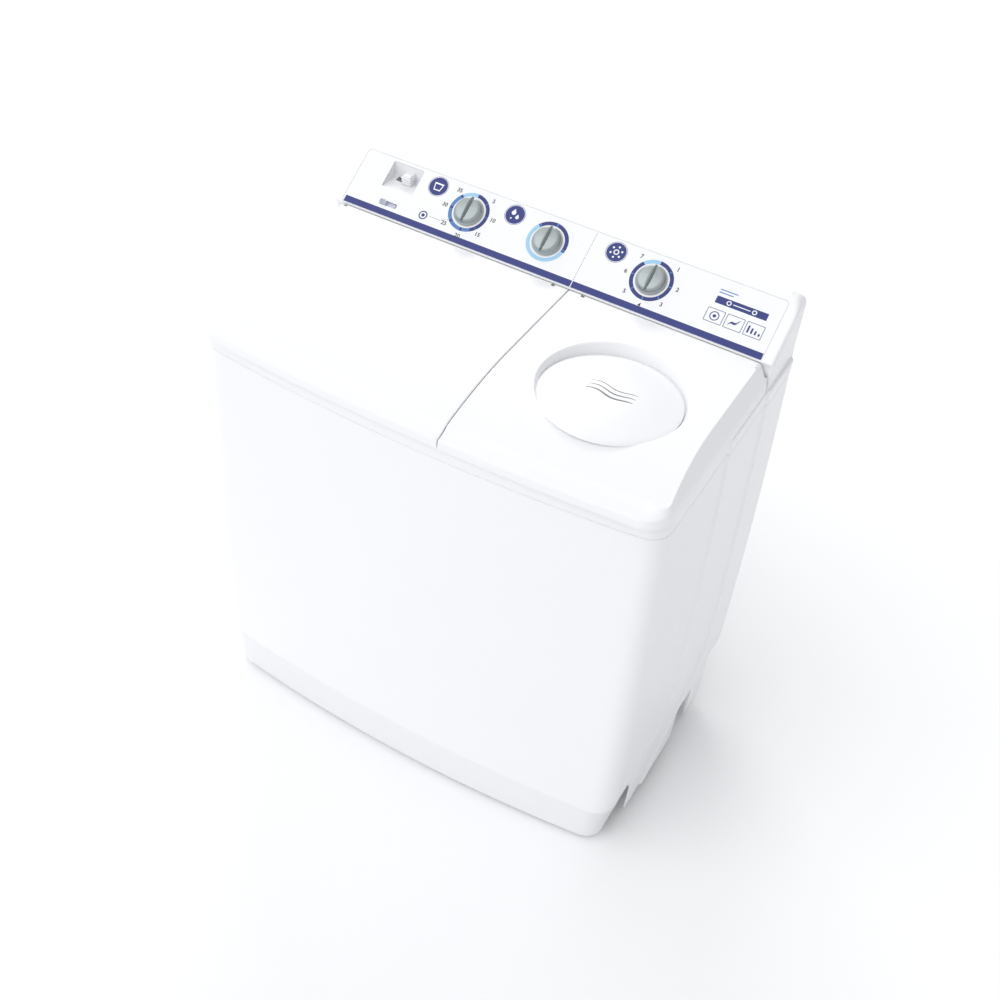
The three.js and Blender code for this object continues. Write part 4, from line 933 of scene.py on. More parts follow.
def dome():
    radius = (DOME_HIGH.x - DOME_LOW.x) / 2
    forward, rim, crown = 7.0, 7.5, 13.5
    outer = [(radius - 8, 0.5), (radius - 4.4, 0.7), (radius - 1.6, 2.3), (radius, 4.9)]
    outer = soften(outer, 2.0)[1:] + [(radius - 0.5, rim - 1.8), (radius - 1.8, rim - 0.5)]
    for k in range(1, 25):
        r = (radius - 3.4) * (1 - k / 24)
        outer.append((r, rim + crown * (1 - (r / radius) ** 2) - 0.2))
    under = [(r * (radius - 2.4) / radius if r > 1 else r, max(z - 2.4, 3.0)) for r, z in outer if z > 4]
    skin = revolve(
        "spin_lid_dome_shell", [(radius - 10, 0.5), *outer, *under[::-1], (radius - 10, 3.0)], 0,
        -forward, 160,
    )
    moved(skin, on_recess())
    done(skin, "spin_lid", "white_shell", stands_for=["spin_lid_dome"])
    strokes = []
    for row in range(3):
        line = []
        for k in range(33):
            x = -44 + 88 * k / 32
            line.append((x, -forward - 12 + row * 12 + 4.2 * math.sin(k / 32 * math.tau * 1.25)))
        strokes.append(ribbon(line, 1.1 + 0.5 * (2 - row)))
    mark = plate("dome_airflow_mark", strokes, 0, 0.2)
    for vertex in mark.data.vertices:
        x, y = vertex.co.x / MM, vertex.co.y / MM
        r = math.hypot(x, y + forward)
        lift = rim + crown * (1 - (r / radius) ** 2) - 0.2
        vertex.co.z += lift * MM
    moved(mark, on_recess())
    done(mark, "spin_lid", "white_shell", "ink_grey")


def ribbon(line, width):
    """The outline of a stroke along a line, thin at both ends."""
    upper, lower = [], []
    count = len(line) - 1
    for k, (x, y) in enumerate(line):
        half = width * (0.12 + 0.88 * math.sin(math.pi * k / count) ** 0.6)
        upper.append((x, y + half))
        lower.append((x, y - half))
    return lower + upper[::-1]


# ---------------------------------------------------------------- control housing

def joint_named(name):
    return next(j for j in frame["joints"] if j["name"] == name)


HOUSING_LOW, HOUSING_HIGH = size_of("control_housing")
DIAL_UP = 69.5
SLOPE = math.radians(34)
UP_SLOPE = Vector((0, math.cos(SLOPE), math.sin(SLOPE)))
PANEL_FOOT = Vector(joint_named("wash_dial_turn")["pos_m"]) / MM - UP_SLOPE * DIAL_UP
PANEL_FOOT.x = 0
PANEL = Matrix.Translation(PANEL_FOOT * MM) @ Matrix.Rotation(SLOPE, 4, "X")
DIALS = {name: joint_named(name + "_dial_turn")["pos_m"][0] / MM for name in ("wash", "selector", "spin")}
FASCIA = (-446.0, 2.0, 440.0, 122.0)
INLET = (-384.0, 59.0, -315.0, 116.0)
SLOT = (-371.0, 23.0, -333.0, 33.0)


def housing_section():
    """The housing's section from the front foot, up the slope and down the back."""
    low, rear, top = HOUSING_LOW.z, HOUSING_HIGH.y, HOUSING_HIGH.z
    run, rise = 129 * math.cos(SLOPE), 129 * math.sin(SLOPE)
    crest = (PANEL_FOOT.y + run, PANEL_FOOT.z + rise)
    line = [(166, low), (166, 970), (PANEL_FOOT.y, PANEL_FOOT.z)]
    front = soften(line, 5, count=5)[:-1]
    middle = soften([(166, 970), (PANEL_FOOT.y, PANEL_FOOT.z), crest], 4, count=6)[1:-1]
    slope = [(PANEL_FOOT.y + run * k / 12, PANEL_FOOT.z + rise * k / 12) for k in range(1, 12)]
    over = bend(crest, (crest[0] + 7, top), (crest[0] + 15, top), 8)
    back = bend((rear - 11, top), (rear, top), (rear, top - 13), 8)
    down = [(rear, low + (top - 13 - low) * (1 - k / 8)) for k in range(1, 9)]
    return front + middle + slope + [crest] + over + [(rear - 11, top)] + back + down


def offset_line(line, inset):
    """A line moved to its inner side."""
    made = []
    for i, point in enumerate(line):
        before, after = Vector(line[max(i - 1, 0)]), Vector(line[min(i + 1, len(line) - 1)])
        along = (after - before).normalized()
        made.append((point[0] + along.y * inset, point[1] - along.x * inset))
    return made


def housing_ring(x, inset):
    """The housing's closed outline at a place along it; the ends are rounded over."""
    half, round_end, edge = HOUSING_HIGH.x - inset, 24.0, 5.0
    turn = max(abs(x) - (half - edge), 0)
    tuck = edge - math.sqrt(max(edge ** 2 - turn ** 2, 0))
    over = max(abs(x) - (half - round_end), 0)
    limit = HOUSING_HIGH.z - inset - round_end + math.sqrt(max(round_end ** 2 - over ** 2, 0))
    made = []
    for (y, z), (y1, z1) in zip(housing_section(), offset_line(housing_section(), 1.0)):
        move = inset + tuck * (0.2 + 0.8 * ease((z - 920) / 30))
        y2, z2 = y + (y1 - y) * move, z + (z1 - z) * move
        z2 = smooth_min(z2, limit, 4.0) if over > 0 else z2
        made.append((x, y2, z2))
    low = HOUSING_LOW.z - 3 * inset
    return [(x, made[0][1], low)] + made[1:-1] + [(x, made[-1][1], low)]


def housing_solid(name, inset):
    half, edge = HOUSING_HIGH.x - inset, 5.0
    columns = [half - edge * (1 - math.sin(k / 7 * math.pi / 2)) for k in range(8)]
    columns += [half - 6 - k * 2.2 for k in range(1, 10)]
    columns += [(half - 28) * k / 9 for k in range(10)]
    columns = sorted({round(c, 4) for c in columns})
    columns = [-c for c in reversed(columns) if c > 0.001] + columns
    return loft(name, [housing_ring(x, inset) for x in columns], caps=(True, True))


def housing():
    shell = housing_solid("housing", 0)
    tools = [housing_solid("housing_hollow", 3.0), moved(soft_recess(), PANEL)]
    for x in DIALS.values():
        tools.append(moved(rod("dial_hole", x, DIAL_UP, -40, 20, 7), PANEL))
    tools.append(moved(prism("inlet_hole", box_outline(*INLET, 3), -40, 20), PANEL))
    tools.append(moved(prism("slot_hole", box_outline(*SLOT, 2), -40, 20), PANEL))
    gland_low, gland_high = size_of("cord_gland")
    gx, gz = (gland_low.x + gland_high.x) / 2, (gland_low.z + gland_high.z) / 2
    tools.append(prism("gland_hole", circle(gx, gz, 9), 280, 310, "y"))
    cut(shell, *tools)
    made = joined("control_housing_shell", [shell, *hinge_lugs()])
    done(made, "cabinet", "white_shell", stands_for=["control_housing"])


def soft_recess():
    x0, y0, x1, y1 = FASCIA
    return prism("fascia_recess", box_outline(x0 - 0.6, y0 - 0.6, x1 + 0.6, y1 + 0.6, 8), -1.3, 20)


def hinge_lugs():
    y, z = HINGE_Y, HINGE_Z
    lugs = []
    spans = ((LID_LOW.x, LID_HIGH.x), (SPIN_LID_LOW.x, SPIN_LID_HIGH.x))
    for x0, x1 in spans:
        for x in (x0 + 30, x1 - 30):
            outline = [(y + 4.9 * math.cos(a), z - 1 + 4.9 * math.sin(a)) for a in
                       (math.radians(80 + 190 * k / 14) for k in range(15))]
            outline += [(y + 3, z - 9), (168, z - 9), (168, z - 2.4), (y + 5, z - 2.2), (y + 4, z + 1.4)]
            lug = rounded(prism("lug", outline, x - 3, x + 3, "x"), 0.5, 2, 60)
            lugs.append(cut(lug, prism("bore", circle(y, z, 2.6, 24), x - 9, x + 9, "x")))
    return lugs


def fascia():
    holes = [circle(x, DIAL_UP, 7, 48) for x in DIALS.values()]
    holes += [box_outline(*INLET, 3), box_outline(*SLOT, 2)]
    sheet = plate("control_fascia_sheet", [box_outline(*FASCIA, 8), *holes], -1.0, 0.0, 0.15)
    moved(sheet, PANEL)
    done(sheet, "cabinet", "fascia_print", stands_for=["control_fascia"], smooth=20)


# ---------------------------------------------------------------- printing on the panel

INK = 0.06


def arc(cx, cy, inner, outer, start, end, count=None):
    """A band of a ring between two clock angles, in degrees clockwise from the top."""
    count = count or max(3, int(abs(end - start) / 3))
    turn = [math.radians(90 - (start + (end - start) * k / count)) for k in range(count + 1)]
    far = [(cx + outer * math.cos(t), cy + outer * math.sin(t)) for t in turn]
    near = [(cx + inner * math.cos(t), cy + inner * math.sin(t)) for t in reversed(turn)]
    return far + near


def printed(name, loops, ink, level=0):
    sheet = plate(name, loops, level * INK, level * INK + INK)
    moved(sheet, PANEL)
    return done(sheet, "cabinet", "fascia_print", ink)


def numeral(text, x, y, height, weight=0.25):
    """The outlines of a number, centred on a place, as a thin mesh on the panel."""
    data = bpy.data.curves.new("numeral", "FONT")
    data.body = text
    data.size = height * 1.35 * MM
    data.align_x = "CENTER"
    data.align_y = "CENTER"
    data.offset = weight * MM
    data.extrude = INK / 2 * MM
    made = new_object("numeral", data)
    bpy.context.view_layer.update()
    graph = bpy.context.evaluated_depsgraph_get()
    mesh = bpy.data.meshes.new_from_object(made.evaluated_get(graph))
    bpy.data.objects.remove(made)
    mesh.transform(Matrix.Translation(Vector((x, y, INK / 2)) * MM))
    return new_object("numeral", mesh)


def numbers(name, values, x, start, step, radius):
    marks = []
    for k, value in enumerate(values):
        angle = math.radians(90 - (start + k * step))
        marks.append(numeral(value, x + radius * math.cos(angle), DIAL_UP + radius * math.sin(angle), 8.5))
    made = moved(joined(name, marks), PANEL)
    done(made, "cabinet", "fascia_print", "ink_black")


def print_stripe():
    gap = 60.0
    ends = (FASCIA[0] + 4, FASCIA[2] + 2)
    low, high = 2.4, 15.5
    loops = [box_outline(ends[0], low, gap - 0.8, high), box_outline(gap + 0.8, low, ends[1] - 3, high)]
    printed("stripe", loops, "ink_navy")
    dashes = [box_outline(gap - 0.45, y, gap + 0.45, y + 3.4) for y in (17 + k * 5.2 for k in range(20))]
    printed("divider_dashes", dashes, "ink_grey")


def print_dials():
    wash, selector, spin = DIALS["wash"], DIALS["selector"], DIALS["spin"]
    inner, outer = 33.5, 41.0
    printed("wash_ring_light", [arc(wash, DIAL_UP, inner, outer, -44, 3)], "ink_light")
    printed("wash_ring_navy", [arc(wash, DIAL_UP, inner, outer, 3, 150)], "ink_navy")
    printed("wash_ring_mid", [arc(wash, DIAL_UP, inner, outer, 150, 316)], "ink_mid")
    ticks = [arc(wash, DIAL_UP, inner, outer, a - 3, a + 3) for a in (178, 222, 267, 313)]
    printed("wash_ring_ticks", ticks, "ink_navy", 1)
    ticks = [arc(wash, DIAL_UP, inner, outer, a - 1, a + 1) for a in (44, 88, 133)]
    printed("wash_ring_light_ticks", ticks, "ink_mid", 1)
    printed("selector_ring_navy", [arc(selector, DIAL_UP, inner, outer, -50, 105)], "ink_navy")
    printed("selector_ring_light", [arc(selector, DIAL_UP, inner, outer, 105, 310)], "ink_light")
    ticks = [arc(selector, DIAL_UP, inner + 0.6, outer - 0.6, a - 2.2, a + 2.2) for a in (-45, 6, 99)]
    printed("selector_ring_ticks", ticks, "ink_mid", 1)
    printed("spin_ring_light", [arc(spin, DIAL_UP, inner, outer, -46, 2)], "ink_light")
    printed("spin_ring_navy", [arc(spin, DIAL_UP, inner, outer, 2, 314)], "ink_navy")
    ticks = [
        arc(spin, DIAL_UP, inner + 0.6, outer - 0.6, a - 1.6, a + 1.6)
        for a in (45, 90, 135, 180, 225, 270)
    ]
    printed("spin_ring_ticks", ticks, "ink_mid", 1)
    numbers("wash_numbers", ["5", "10", "15", "20", "25", "30", "35"], wash, 44, 44.8, 52)
    numbers("spin_numbers", ["1", "2", "3", "4", "5", "6", "7"], spin, 45, 45, 52)


def print_symbols():
    """Round badges with plain generic signs: a tub, a drop, and bubbles."""
    badge = 19.0
    high = 97.0
    places = [DIALS["wash"] - 82.5, DIALS["selector"] - 83, DIALS["spin"] - 84.5]
    printed("badges", [circle(x, high, badge, 72) for x in places], "ink_navy")
    rims = [
        loop
        for x in places
        for loop in (circle(x, high, badge + 2.0, 72), circle(x, high, badge + 1.2, 72))
    ]
    printed("badge_rims", rims, "ink_navy")
    x = places[0]
    tub = [(x - 10, high + 7), (x - 7, high - 9), (x + 7, high - 9), (x + 10, high + 7)]
    inner = [(x - 7.6, high + 4), (x - 5.4, high - 6.8), (x + 5.4, high - 6.8), (x + 7.6, high + 4)]
    signs = [tub, inner]
    x = places[1]
    signs += [drop(x - 4, high + 3, 5.5), drop(x + 6, high - 4, 4.2), circle(x - 5, high - 9, 1.6, 20)]
    x = places[2]
    for k in range(6):
        angle = math.radians(60 * k + 20)
        signs.append(circle(x + 11 * math.cos(angle), high + 11 * math.sin(angle), 2.0, 20))
    signs += [circle(x, high, 5.4, 36), circle(x, high, 3.4, 36)]
    printed("badge_signs", signs, "ink_white", 1)
    small = DIALS["wash"] - 82.5
    printed(
        "small_badge",
        [circle(small, 32, 9, 48), circle(small, 32, 6.6, 48), circle(small, 32, 3.6, 32)],
        "ink_navy",
    )
    leader = [box_outline(small + 14 + k * 5, 33.5 + max(0, k - 4) * 2.1,
                          small + 17.4 + k * 5, 34.6 + max(0, k - 4) * 2.1)
              for k in range(8)]
    printed("small_badge_leader", leader, "ink_grey")


def drop(x, y, size):
    """A water drop, point up."""
    made = [(x, y + size * 1.5)]
    for k in range(17):
        angle = math.radians(35 - k * 250 / 16)
        made.append((x + size * 0.8 * math.cos(angle), y + size * 0.8 * math.sin(angle)))
    return made


def print_right_end():
    """A plain banner and three picture frames of generic signs."""
    banner = box_outline(318, 73, 417, 87, 1.5)
    printed("banner", [banner], "ink_navy")
    rings = [loop for x in (343, 392) for loop in (circle(x, 80, 4.6, 36), circle(x, 80, 2.8, 36))]
    rings.append(box_outline(351, 79.2, 384, 80.8))
    printed("banner_sign", rings, "ink_white", 1)
    frames = []
    for k in range(3):
        x0 = 312 + k * 38
        frames += [box_outline(x0, 35, x0 + 34, 62, 2), box_outline(x0 + 1.1, 36.1, x0 + 32.9, 60.9, 1.4)]
    printed("picture_frames", frames, "ink_navy")
    signs = [circle(329, 48.5, 9, 40), circle(329, 48.5, 7.2, 40), circle(329, 48.5, 3.2, 30)]
    signs += [ribbon([(356 + t * 3, 41 + t * 2.1 + 3 * math.sin(t)) for t in range(8)], 2.2)]
    signs += [box_outline(393 + k * 7.2, 41, 396.4 + k * 7.2, 55 - k * 3, 0.8) for k in range(4)]
    printed("picture_signs", signs, "ink_navy", 1)
    bars = [box_outline(318, 99, 352, 101), box_outline(318, 93.4, 345, 95.4)]
    printed("small_bars", bars, "ink_mid")


# ---------------------------------------------------------------- knobs, slider and inlet

def knob(dial):
    """A satin cap with a tapered blade across it and a dot at the blade's lower end."""
    x = DIALS[dial]
    radius = 29.5
    profile = [
        (0.0, 0.8), (radius - 1, 0.8), (radius, 1.6), (radius, 3.4), (radius - 0.8, 4.4),
        (radius - 2.2, 5.0),
    ]
    profile += [
        (radius - 3.6, 9.4), (radius - 4.6, 12.6), (radius - 6.4, 14.2), (radius - 9, 15.0),
        (8, 16.2), (0.0, 16.4),
    ]
    cap = revolve("cap", soften(profile, 1.2, count=3), x, DIAL_UP, 96)
    made = moved(joined(dial + "_knob_cap", [cap]), PANEL)
    done(made, dial + "_dial", "knob_silver", stands_for=[dial + "_knob"])
    rings = []
    reach, height = 27.0, 23.0
    for k in range(25):
        t = k / 24
        y = -reach + 2 * reach * t
        fullness = math.sin(math.pi * min(max(t, 0.02), 0.98)) ** 0.55
        foot, crest = 5.4 * fullness, 1.5 * fullness
        top = 12.5 + (height - 12.5) * math.sin(math.pi * min(max(t, 0.0), 1.0)) ** 0.28
        section = [(-foot, 11), (-foot, 14), (-crest, top - 0.7), (-crest * 0.4, top), (crest * 0.4, top),
                   (crest, top - 0.7),
                   (foot, 14), (foot, 11)]
        rings.append([(x + a, DIAL_UP + y, b) for a, b in section])
    blade = loft(dial + "_knob_blade", rings, caps=(True, True))
    moved(blade, PANEL)
    done(blade, dial + "_dial", "knob_silver", "knob_blade", smooth=28)
    dot = revolve(
        dial + "_knob_dot", [(0.0, 16.9), (1.3, 16.9), (1.9, 16.3), (1.9, 14.2), (0.0, 14.2)], x,
        DIAL_UP - 23.4, 24,
    )
    moved(dot, PANEL)
    done(dot, dial + "_dial", "knob_silver", "ink_black")
    shaft_name = dial + "_dial_shaft"
    shaft = rounded(rod(shaft_name + "_bar", x, DIAL_UP, -24, 12.6, 3.0, 40), 0.5, 2)
    moved(shaft, PANEL)
    done(shaft, dial + "_dial", "steel", stands_for=[shaft_name])


def slider():
    x, y = -363.0, 28.0
    thumb = soft_brick("thumb", (x - 7, y - 4, -7), (x + 7, y + 4, 5), 0.8)
    ridges = [
        soft_brick("ridge", (x - 4.6 + k * 2.6, y - 4, 4.2), (x - 3.6 + k * 2.6, y + 4, 7.6), 0.4, 2)
        for k in range(4)
    ]
    shutter = soft_brick("shutter", (x - 26, y - 9, -8), (x + 26, y + 9, -5), 0.5, 2)
    made = moved(joined("inlet_slider_piece", [thumb, *ridges, shutter]), PANEL)
    done(made, "inlet_slider", "blue_plastic", "slider_plastic", stands_for=["inlet_slider"])


# ---------------------------------------------------------------- wash tub and its drive

def closed(profile):
    """A profile with its first point again at the end."""
    return profile + profile[:1]


def middle_of(name):
    """A node's middle across, its lowest and highest levels and its reach along X, in millimetres."""
    low, high = size_of(name)
    return (low.x + high.x) / 2, (low.y + high.y) / 2, low.z, high.z, (high.x - low.x) / 2


def turned(name, body, slot, profile, sides=96, look=None, place=None):
    """A turned piece that stands for a node, round the node's own upright axis or a place given."""
    x, y = place or middle_of(name)[:2]
    piece = revolve(name + "_turned", profile, x, y, sides)
    return done(piece, body, slot, look, [name])


def tub_rings(pairs):
    return [[(x, y, z) for x, y in tub_outline(inset)] for inset, z in pairs]


def wash_tub():
    floor, top = TUB_LOW.z, TUB_HIGH.z
    outside = [
        (-13.2, top), (-14, top - 0.9), (-14, top - 3.2), (-13.2, top - 4), (-4.6, top - 4),
        (-3, top - 6),
    ]
    outside += [(-3, floor + 24), (-1.4, floor + 12), (3.5, floor + 4), (11, floor + 0.9), (22, floor)]
    inside = [(22, floor + 3), (12.5, floor + 3.8), (6, floor + 6.6), (1.6, floor + 13), (0, floor + 24)]
    inside += [(0, top - 20), (0.2, top - 1.2), (-0.8, top)]
    tub = closed_tub(outside + inside)
    drain = middle_of("drain_valve_body")
    middle = middle_of("pulsator")
    cover = size_of("overflow_cover")
    wall = TUB_HIGH.x - TUB_FLANGE
    tools = [rod("shaft_way", middle[0], middle[1], floor - 20, floor + 60, 24)]
    tools.append(rod("drain_way", drain[0], drain[1], floor - 20, floor + 60, 17))
    tools.append(soft_brick(
        "overflow_way", (wall - 8, -95, cover[1].z - 30), (wall + 12, -25, cover[1].z - 10), 2,
    ))
    cut(tub, *tools)
    ribs = []
    front, back = TUB_LOW.y + TUB_FLANGE, TUB_HIGH.y - TUB_FLANGE
    for k in range(4):
        x = middle[0] + (k - 1.5) * 72
        for y in (front, back):
            ribs.append(soft_brick("rib", (x - 3, y - 1.4, floor + 40), (x + 3, y + 1.4, top - 60), 1.3, 3))
    made = joined("wash_tub_shell", [tub, *ribs])
    done(made, "cabinet", "tub_white", stands_for=["wash_tub"])


def closed_tub(pairs):
    """Builds the tub as one closed skin: up the inside, over the flange and down the outside."""
    split = next(
        i
        for i, (inset, z) in enumerate(pairs)
        if i and z > pairs[i - 1][1] and inset == pairs[i - 1][0]
    )
    outer, inner = pairs[:split], pairs[split:]
    rings = tub_rings([(70, inner[0][1])] + inner + outer + [(70, outer[-1][1])])
    return loft("wash_tub_skin", rings, caps=(True, True))


def pulsator():
    x, y, low, high, radius = middle_of("pulsator")
    dish = [(0, low + 30), (8.4, low + 30), (8.4, low + 12), (24, low + 12), (radius * 0.55, low + 8)]
    dish += [
        (radius - 6, low + 8), (radius - 6, low), (radius - 3, low), (radius, low + 3),
        (radius, low + 9.4),
    ]
    dish += [(radius - 2, low + 12), (radius - 8, low + 13), (radius * 0.55, low + 12.5), (50, low + 17)]
    dish += [(34, low + 27), (26, low + 37), (18, low + 41), (0, high)]
    pieces = [revolve("dish", soften(dish, 2.0, count=3), x, y, 128)]
    for k in range(6):
        pieces.append(vane(x, y, low, radius, k * math.tau / 6))
    for k in range(24):
        turn = k * math.tau / 24 + 0.13
        r = radius - 22
        outline = [(0, low + 15.4), (1.6, low + 15.2), (3, low + 14), (3.2, low + 12), (0, low + 12)]
        pieces.append(revolve("stud", outline,
                              x + r * math.cos(turn), y + r * math.sin(turn), 16))
    made = joined("pulsator_disc", pieces)
    done(made, "agitator", "blue_plastic", stands_for=["pulsator"])


def vane(x, y, low, radius, turn):
    """One swept, rounded rib on the pulsator."""
    rings = []
    for k in range(21):
        t = k / 20
        reach = 20 + (radius - 34) * t
        swing = turn + 0.34 * t * t
        fade = min(1.0, (1 - t) * 6) ** 0.5 if t < 1 else 0.02
        half, crest = 6.0 * (1 - 0.3 * t) * max(fade, 0.1), low + 11 + (20 - 9 * t) * fade
        side = Vector((-math.sin(swing), math.cos(swing)))
        spot = Vector((x + reach * math.cos(swing), y + reach * math.sin(swing)))
        row = []
        for i in range(9):
            a = math.pi * i / 8
            across = spot + side * half * math.cos(a)
            row.append((across.x, across.y, low + 10.4 + (crest - low - 10.4) * math.sin(a) ** 0.7))
        rings.append(row)
    return loft("vane", rings, caps=(True, True))


def upright_rod(name, body, slot, blunt=0.8):
    low, high, radius = middle_of(name)[2:]
    profile = [
        (0, low), (radius - blunt, low), (radius, low + blunt), (radius, high - blunt),
        (radius - blunt, high), (0, high),
    ]
    turned(name, body, slot, profile, 48)


def pulley(name, body):
    x, y, low, high, rim = middle_of(name)
    big = rim > 60
    bore = 8.4 if big else 6.4
    radius = rim - 4
    groove_low, groove_high = low + 3, low + 15
    top = groove_high + 3
    profile = [
        (bore, low), (rim - 0.8, low), (rim, low + 0.8), (rim, groove_low - 1),
        (radius, groove_low + 1),
    ]
    profile += [(radius, groove_high - 1), (rim, groove_high + 0.8), (rim, top - 0.8), (rim - 0.8, top)]
    if big:
        hub = max(bore + 8, radius * 0.3)
        profile += [
            (radius - 6, top), (radius - 8, groove_low + 4), (hub + 6, groove_low + 3),
            (hub, high - 1.5), (hub - 1.5, high),
        ]
    profile += [(bore, high if big else top)]
    pieces = revolve(name + "_wheel", soften(closed(profile), 0.7, count=2), x, y, 96)
    if big:
        ways = []
        for k in range(6):
            turn = k * math.tau / 6
            r = (radius - 8 + max(bore + 8, radius * 0.3)) / 2
            ways.append(rod(
                "window", x + r * math.cos(turn), y + r * math.sin(turn), low - 5, high + 5, 13, 32,
            ))
        cut(pieces, joined("windows", ways))
    done(pieces, body, "bearing_alloy" if big else "zinc_steel", stands_for=[name])


def bearing_housing():
    x, y, low, high, radius = middle_of("pulsator_bearing_housing")
    profile = [
        (8.4, low), (40, low), (46, low + 10), (radius - 2, low + 13), (radius, low + 16),
        (radius, low + 68),
    ]
    profile += [
        (radius - 2, low + 71), (48, low + 78), (48, high - 6), (46.5, high - 4.6), (24, high - 4.6),
        (23, high), (8.4, high),
    ]
    case = revolve("case", soften(closed(profile), 1.5, count=2), x, y, 96)
    fins = []
    for k in range(8):
        turn = Matrix.Translation((x * MM, y * MM, 0)) @ Matrix.Rotation(k * math.tau / 8 + 0.2, 4, "Z")
        fins.append(moved(soft_brick("fin", (38, -2, low + 3), (radius - 1, 2, low + 13.4), 0.8, 2), turn))
    made = joined("pulsator_bearing_case", [case, *fins])
    done(made, "cabinet", "bearing_alloy", stands_for=["pulsator_bearing_housing"])


def motor(name, shaft_radius):
    """A closed motor: two cast end bells with ribs, a laminated middle and four long bolts."""
    x, y, low, high, radius = middle_of(name)
    bell, bore = 26.0, shaft_radius + 0.4
    core = [
        (bore, low), (radius - 24, low), (radius - 22, low + 1), (radius - 9, low + 8),
        (radius - 4, low + bell),
    ]
    core += [
        (radius - 0.8, low + bell), (radius, low + bell + 0.8), (radius, high - bell - 0.8),
        (radius - 0.8, high - bell),
    ]
    core += [
        (radius - 4, high - bell), (radius - 9, high - 8), (radius - 22, high - 1),
        (radius - 24, high), (bore, high),
    ]
    pieces = [revolve("core", core + core[:1], x, y, 72)]
    for k in range(12):
        turn = Matrix.Translation((x * MM, y * MM, 0)) @ Matrix.Rotation(k * math.tau / 12, 4, "Z")
        for z0, z1 in ((low + 7, low + bell - 2), (high - bell + 2, high - 7)):
            pieces.append(moved(
                soft_brick("rib", (radius - 16, -1.5, z0), (radius - 3.4, 1.5, z1), 0.6, 1), turn,
            ))
    for k in range(4):
        turn = math.pi / 4 + k * math.pi / 2
        r = radius - 2.6
        pieces.append(rounded(
            rod(
                "bolt", x + r * math.cos(turn), y + r * math.sin(turn), low + bell - 6,
                high - bell + 6, 2.5, 20,
            ),
            0.6, 2,
        ))
    done(joined(name + "_case", pieces), "cabinet", "motor_grey", stands_for=[name])


def loop_outline(a, ra, b, rb):
    """The outline of a loop drawn tight round two circles."""
    lean = math.acos((ra - rb) / math.hypot(b[0] - a[0], b[1] - a[1]))
    along = math.atan2(b[1] - a[1], b[0] - a[0])
    points = []
    for (x, y), radius, start, end, count in (
        (a, ra, along + lean, along + math.tau - lean, 72),
        (b, rb, along - lean, along + lean, 36),
    ):
        for k in range(count + 1):
            turn = start + (end - start) * k / count
            points.append((x + radius * math.cos(turn), y + radius * math.sin(turn)))
    return points


def drive_belt():
    low, high = size_of("drive_belt")
    big, small = middle_of("pulsator_pulley"), middle_of("motor_pulley")
    rings = []
    for out, z in ((1.4, low.z + 1.6), (1.4, high.z - 1.6), (2.0, high.z - 1), (5.4, high.z),
                   (6.2, high.z - 0.8),
                   (6.2, low.z + 0.8), (5.4, low.z), (2.0, low.z + 1)):
        loop = loop_outline(big[:2], big[4] - 4 + out, small[:2], small[4] - 4 + out)
        rings.append([(x, y, z) for x, y in loop])
    belt = loft("drive_belt_loop", rings, wrap=True)
    done(belt, "cabinet", "rubber", stands_for=["drive_belt"])


# ---------------------------------------------------------------- spin tub and its drive

def spin_tub():
    x, y, low, high, radius = middle_of("spin_outer_tub")
    radius -= 12
    profile = [
        (34, low), (radius - 14, low), (radius - 4, low + 4), (radius, low + 14), (radius, high - 6),
        (radius + 2, high - 4),
    ]
    profile += [
        (radius + 11, high - 4), (radius + 12, high - 3), (radius + 12, high - 1),
        (radius + 11, high), (radius - 2, high),
    ]
    profile += [
        (radius - 3, high - 1.5), (radius - 3, low + 14), (radius - 6, low + 6),
        (radius - 15, low + 3), (34, low + 3),
    ]
    tub = revolve("tub", soften(closed(profile), 2.0, count=3), x, y, 144)
    hoops = [revolve("hoop", closed([(radius - 1, z - 2.2), (radius + 2.4, z - 1),
                                     (radius + 2.4, z + 1), (radius - 1, z + 2.2)]),
                     x, y, 144) for z in (low + 60, low + 240, low + 420)]
    made = joined("spin_outer_tub_shell", [tub, *hoops])
    done(made, "cabinet", "tub_white", stands_for=["spin_outer_tub"])


def spin_basket():
    x, y, low, high, radius = middle_of("spin_basket")
    lip, bore = radius - 8, 7.4
    profile = [
        (bore, low), (radius - 14, low), (radius - 4, low + 4), (radius, low + 14),
        (radius, high - 2), (radius - 2, high),
    ]
    profile += [
        (lip + 2.4, high), (lip + 0.8, high - 1), (lip, high - 3.4), (lip, high - 20),
        (lip + 1, high - 23), (radius - 2, high - 32),
    ]
    profile += [
        (radius - 2, low + 16), (radius - 5.6, low + 7), (radius - 15, low + 3), (52, low + 3),
        (44, low + 6), (33, low + 28),
    ]
    profile += [(30, low + 32), (bore, low + 32)]
    basket = revolve("basket", soften(closed(profile), 2.0, count=3), x, y, 144)
    holes = []
    for row in range(8):
        for k in range(24):
            turn = (k + (row % 2) / 2) * math.tau / 24
            z = low + 44 + row * 36
            hole = prism("hole", circle(0, 0, 2.8, 10), radius - 8, radius + 6, "x")
            place = Matrix.Translation((x * MM, y * MM, z * MM)) @ Matrix.Rotation(turn, 4, "Z")
            holes.append(moved(hole, place))
    cut(basket, joined("holes", holes))
    ribs = []
    for k in range(12):
        turn = Matrix.Translation((x * MM, y * MM, 0)) @ Matrix.Rotation((k + 0.25) * math.tau / 12, 4, "Z")
        ribs.append(moved(
            soft_brick("rib", (radius - 4.6, -2.2, low + 24), (radius - 1, 2.2, high - 40), 1.2, 2),
            turn,
        ))
        ribs.append(moved(
            soft_brick("spoke", (46, -1.6, low + 2), (radius - 16, 1.6, low + 5), 0.9, 2), turn,
        ))
    made = joined("spin_basket_drum", [basket, *ribs])
    done(made, "basket", "basket_plastic", stands_for=["spin_basket"])


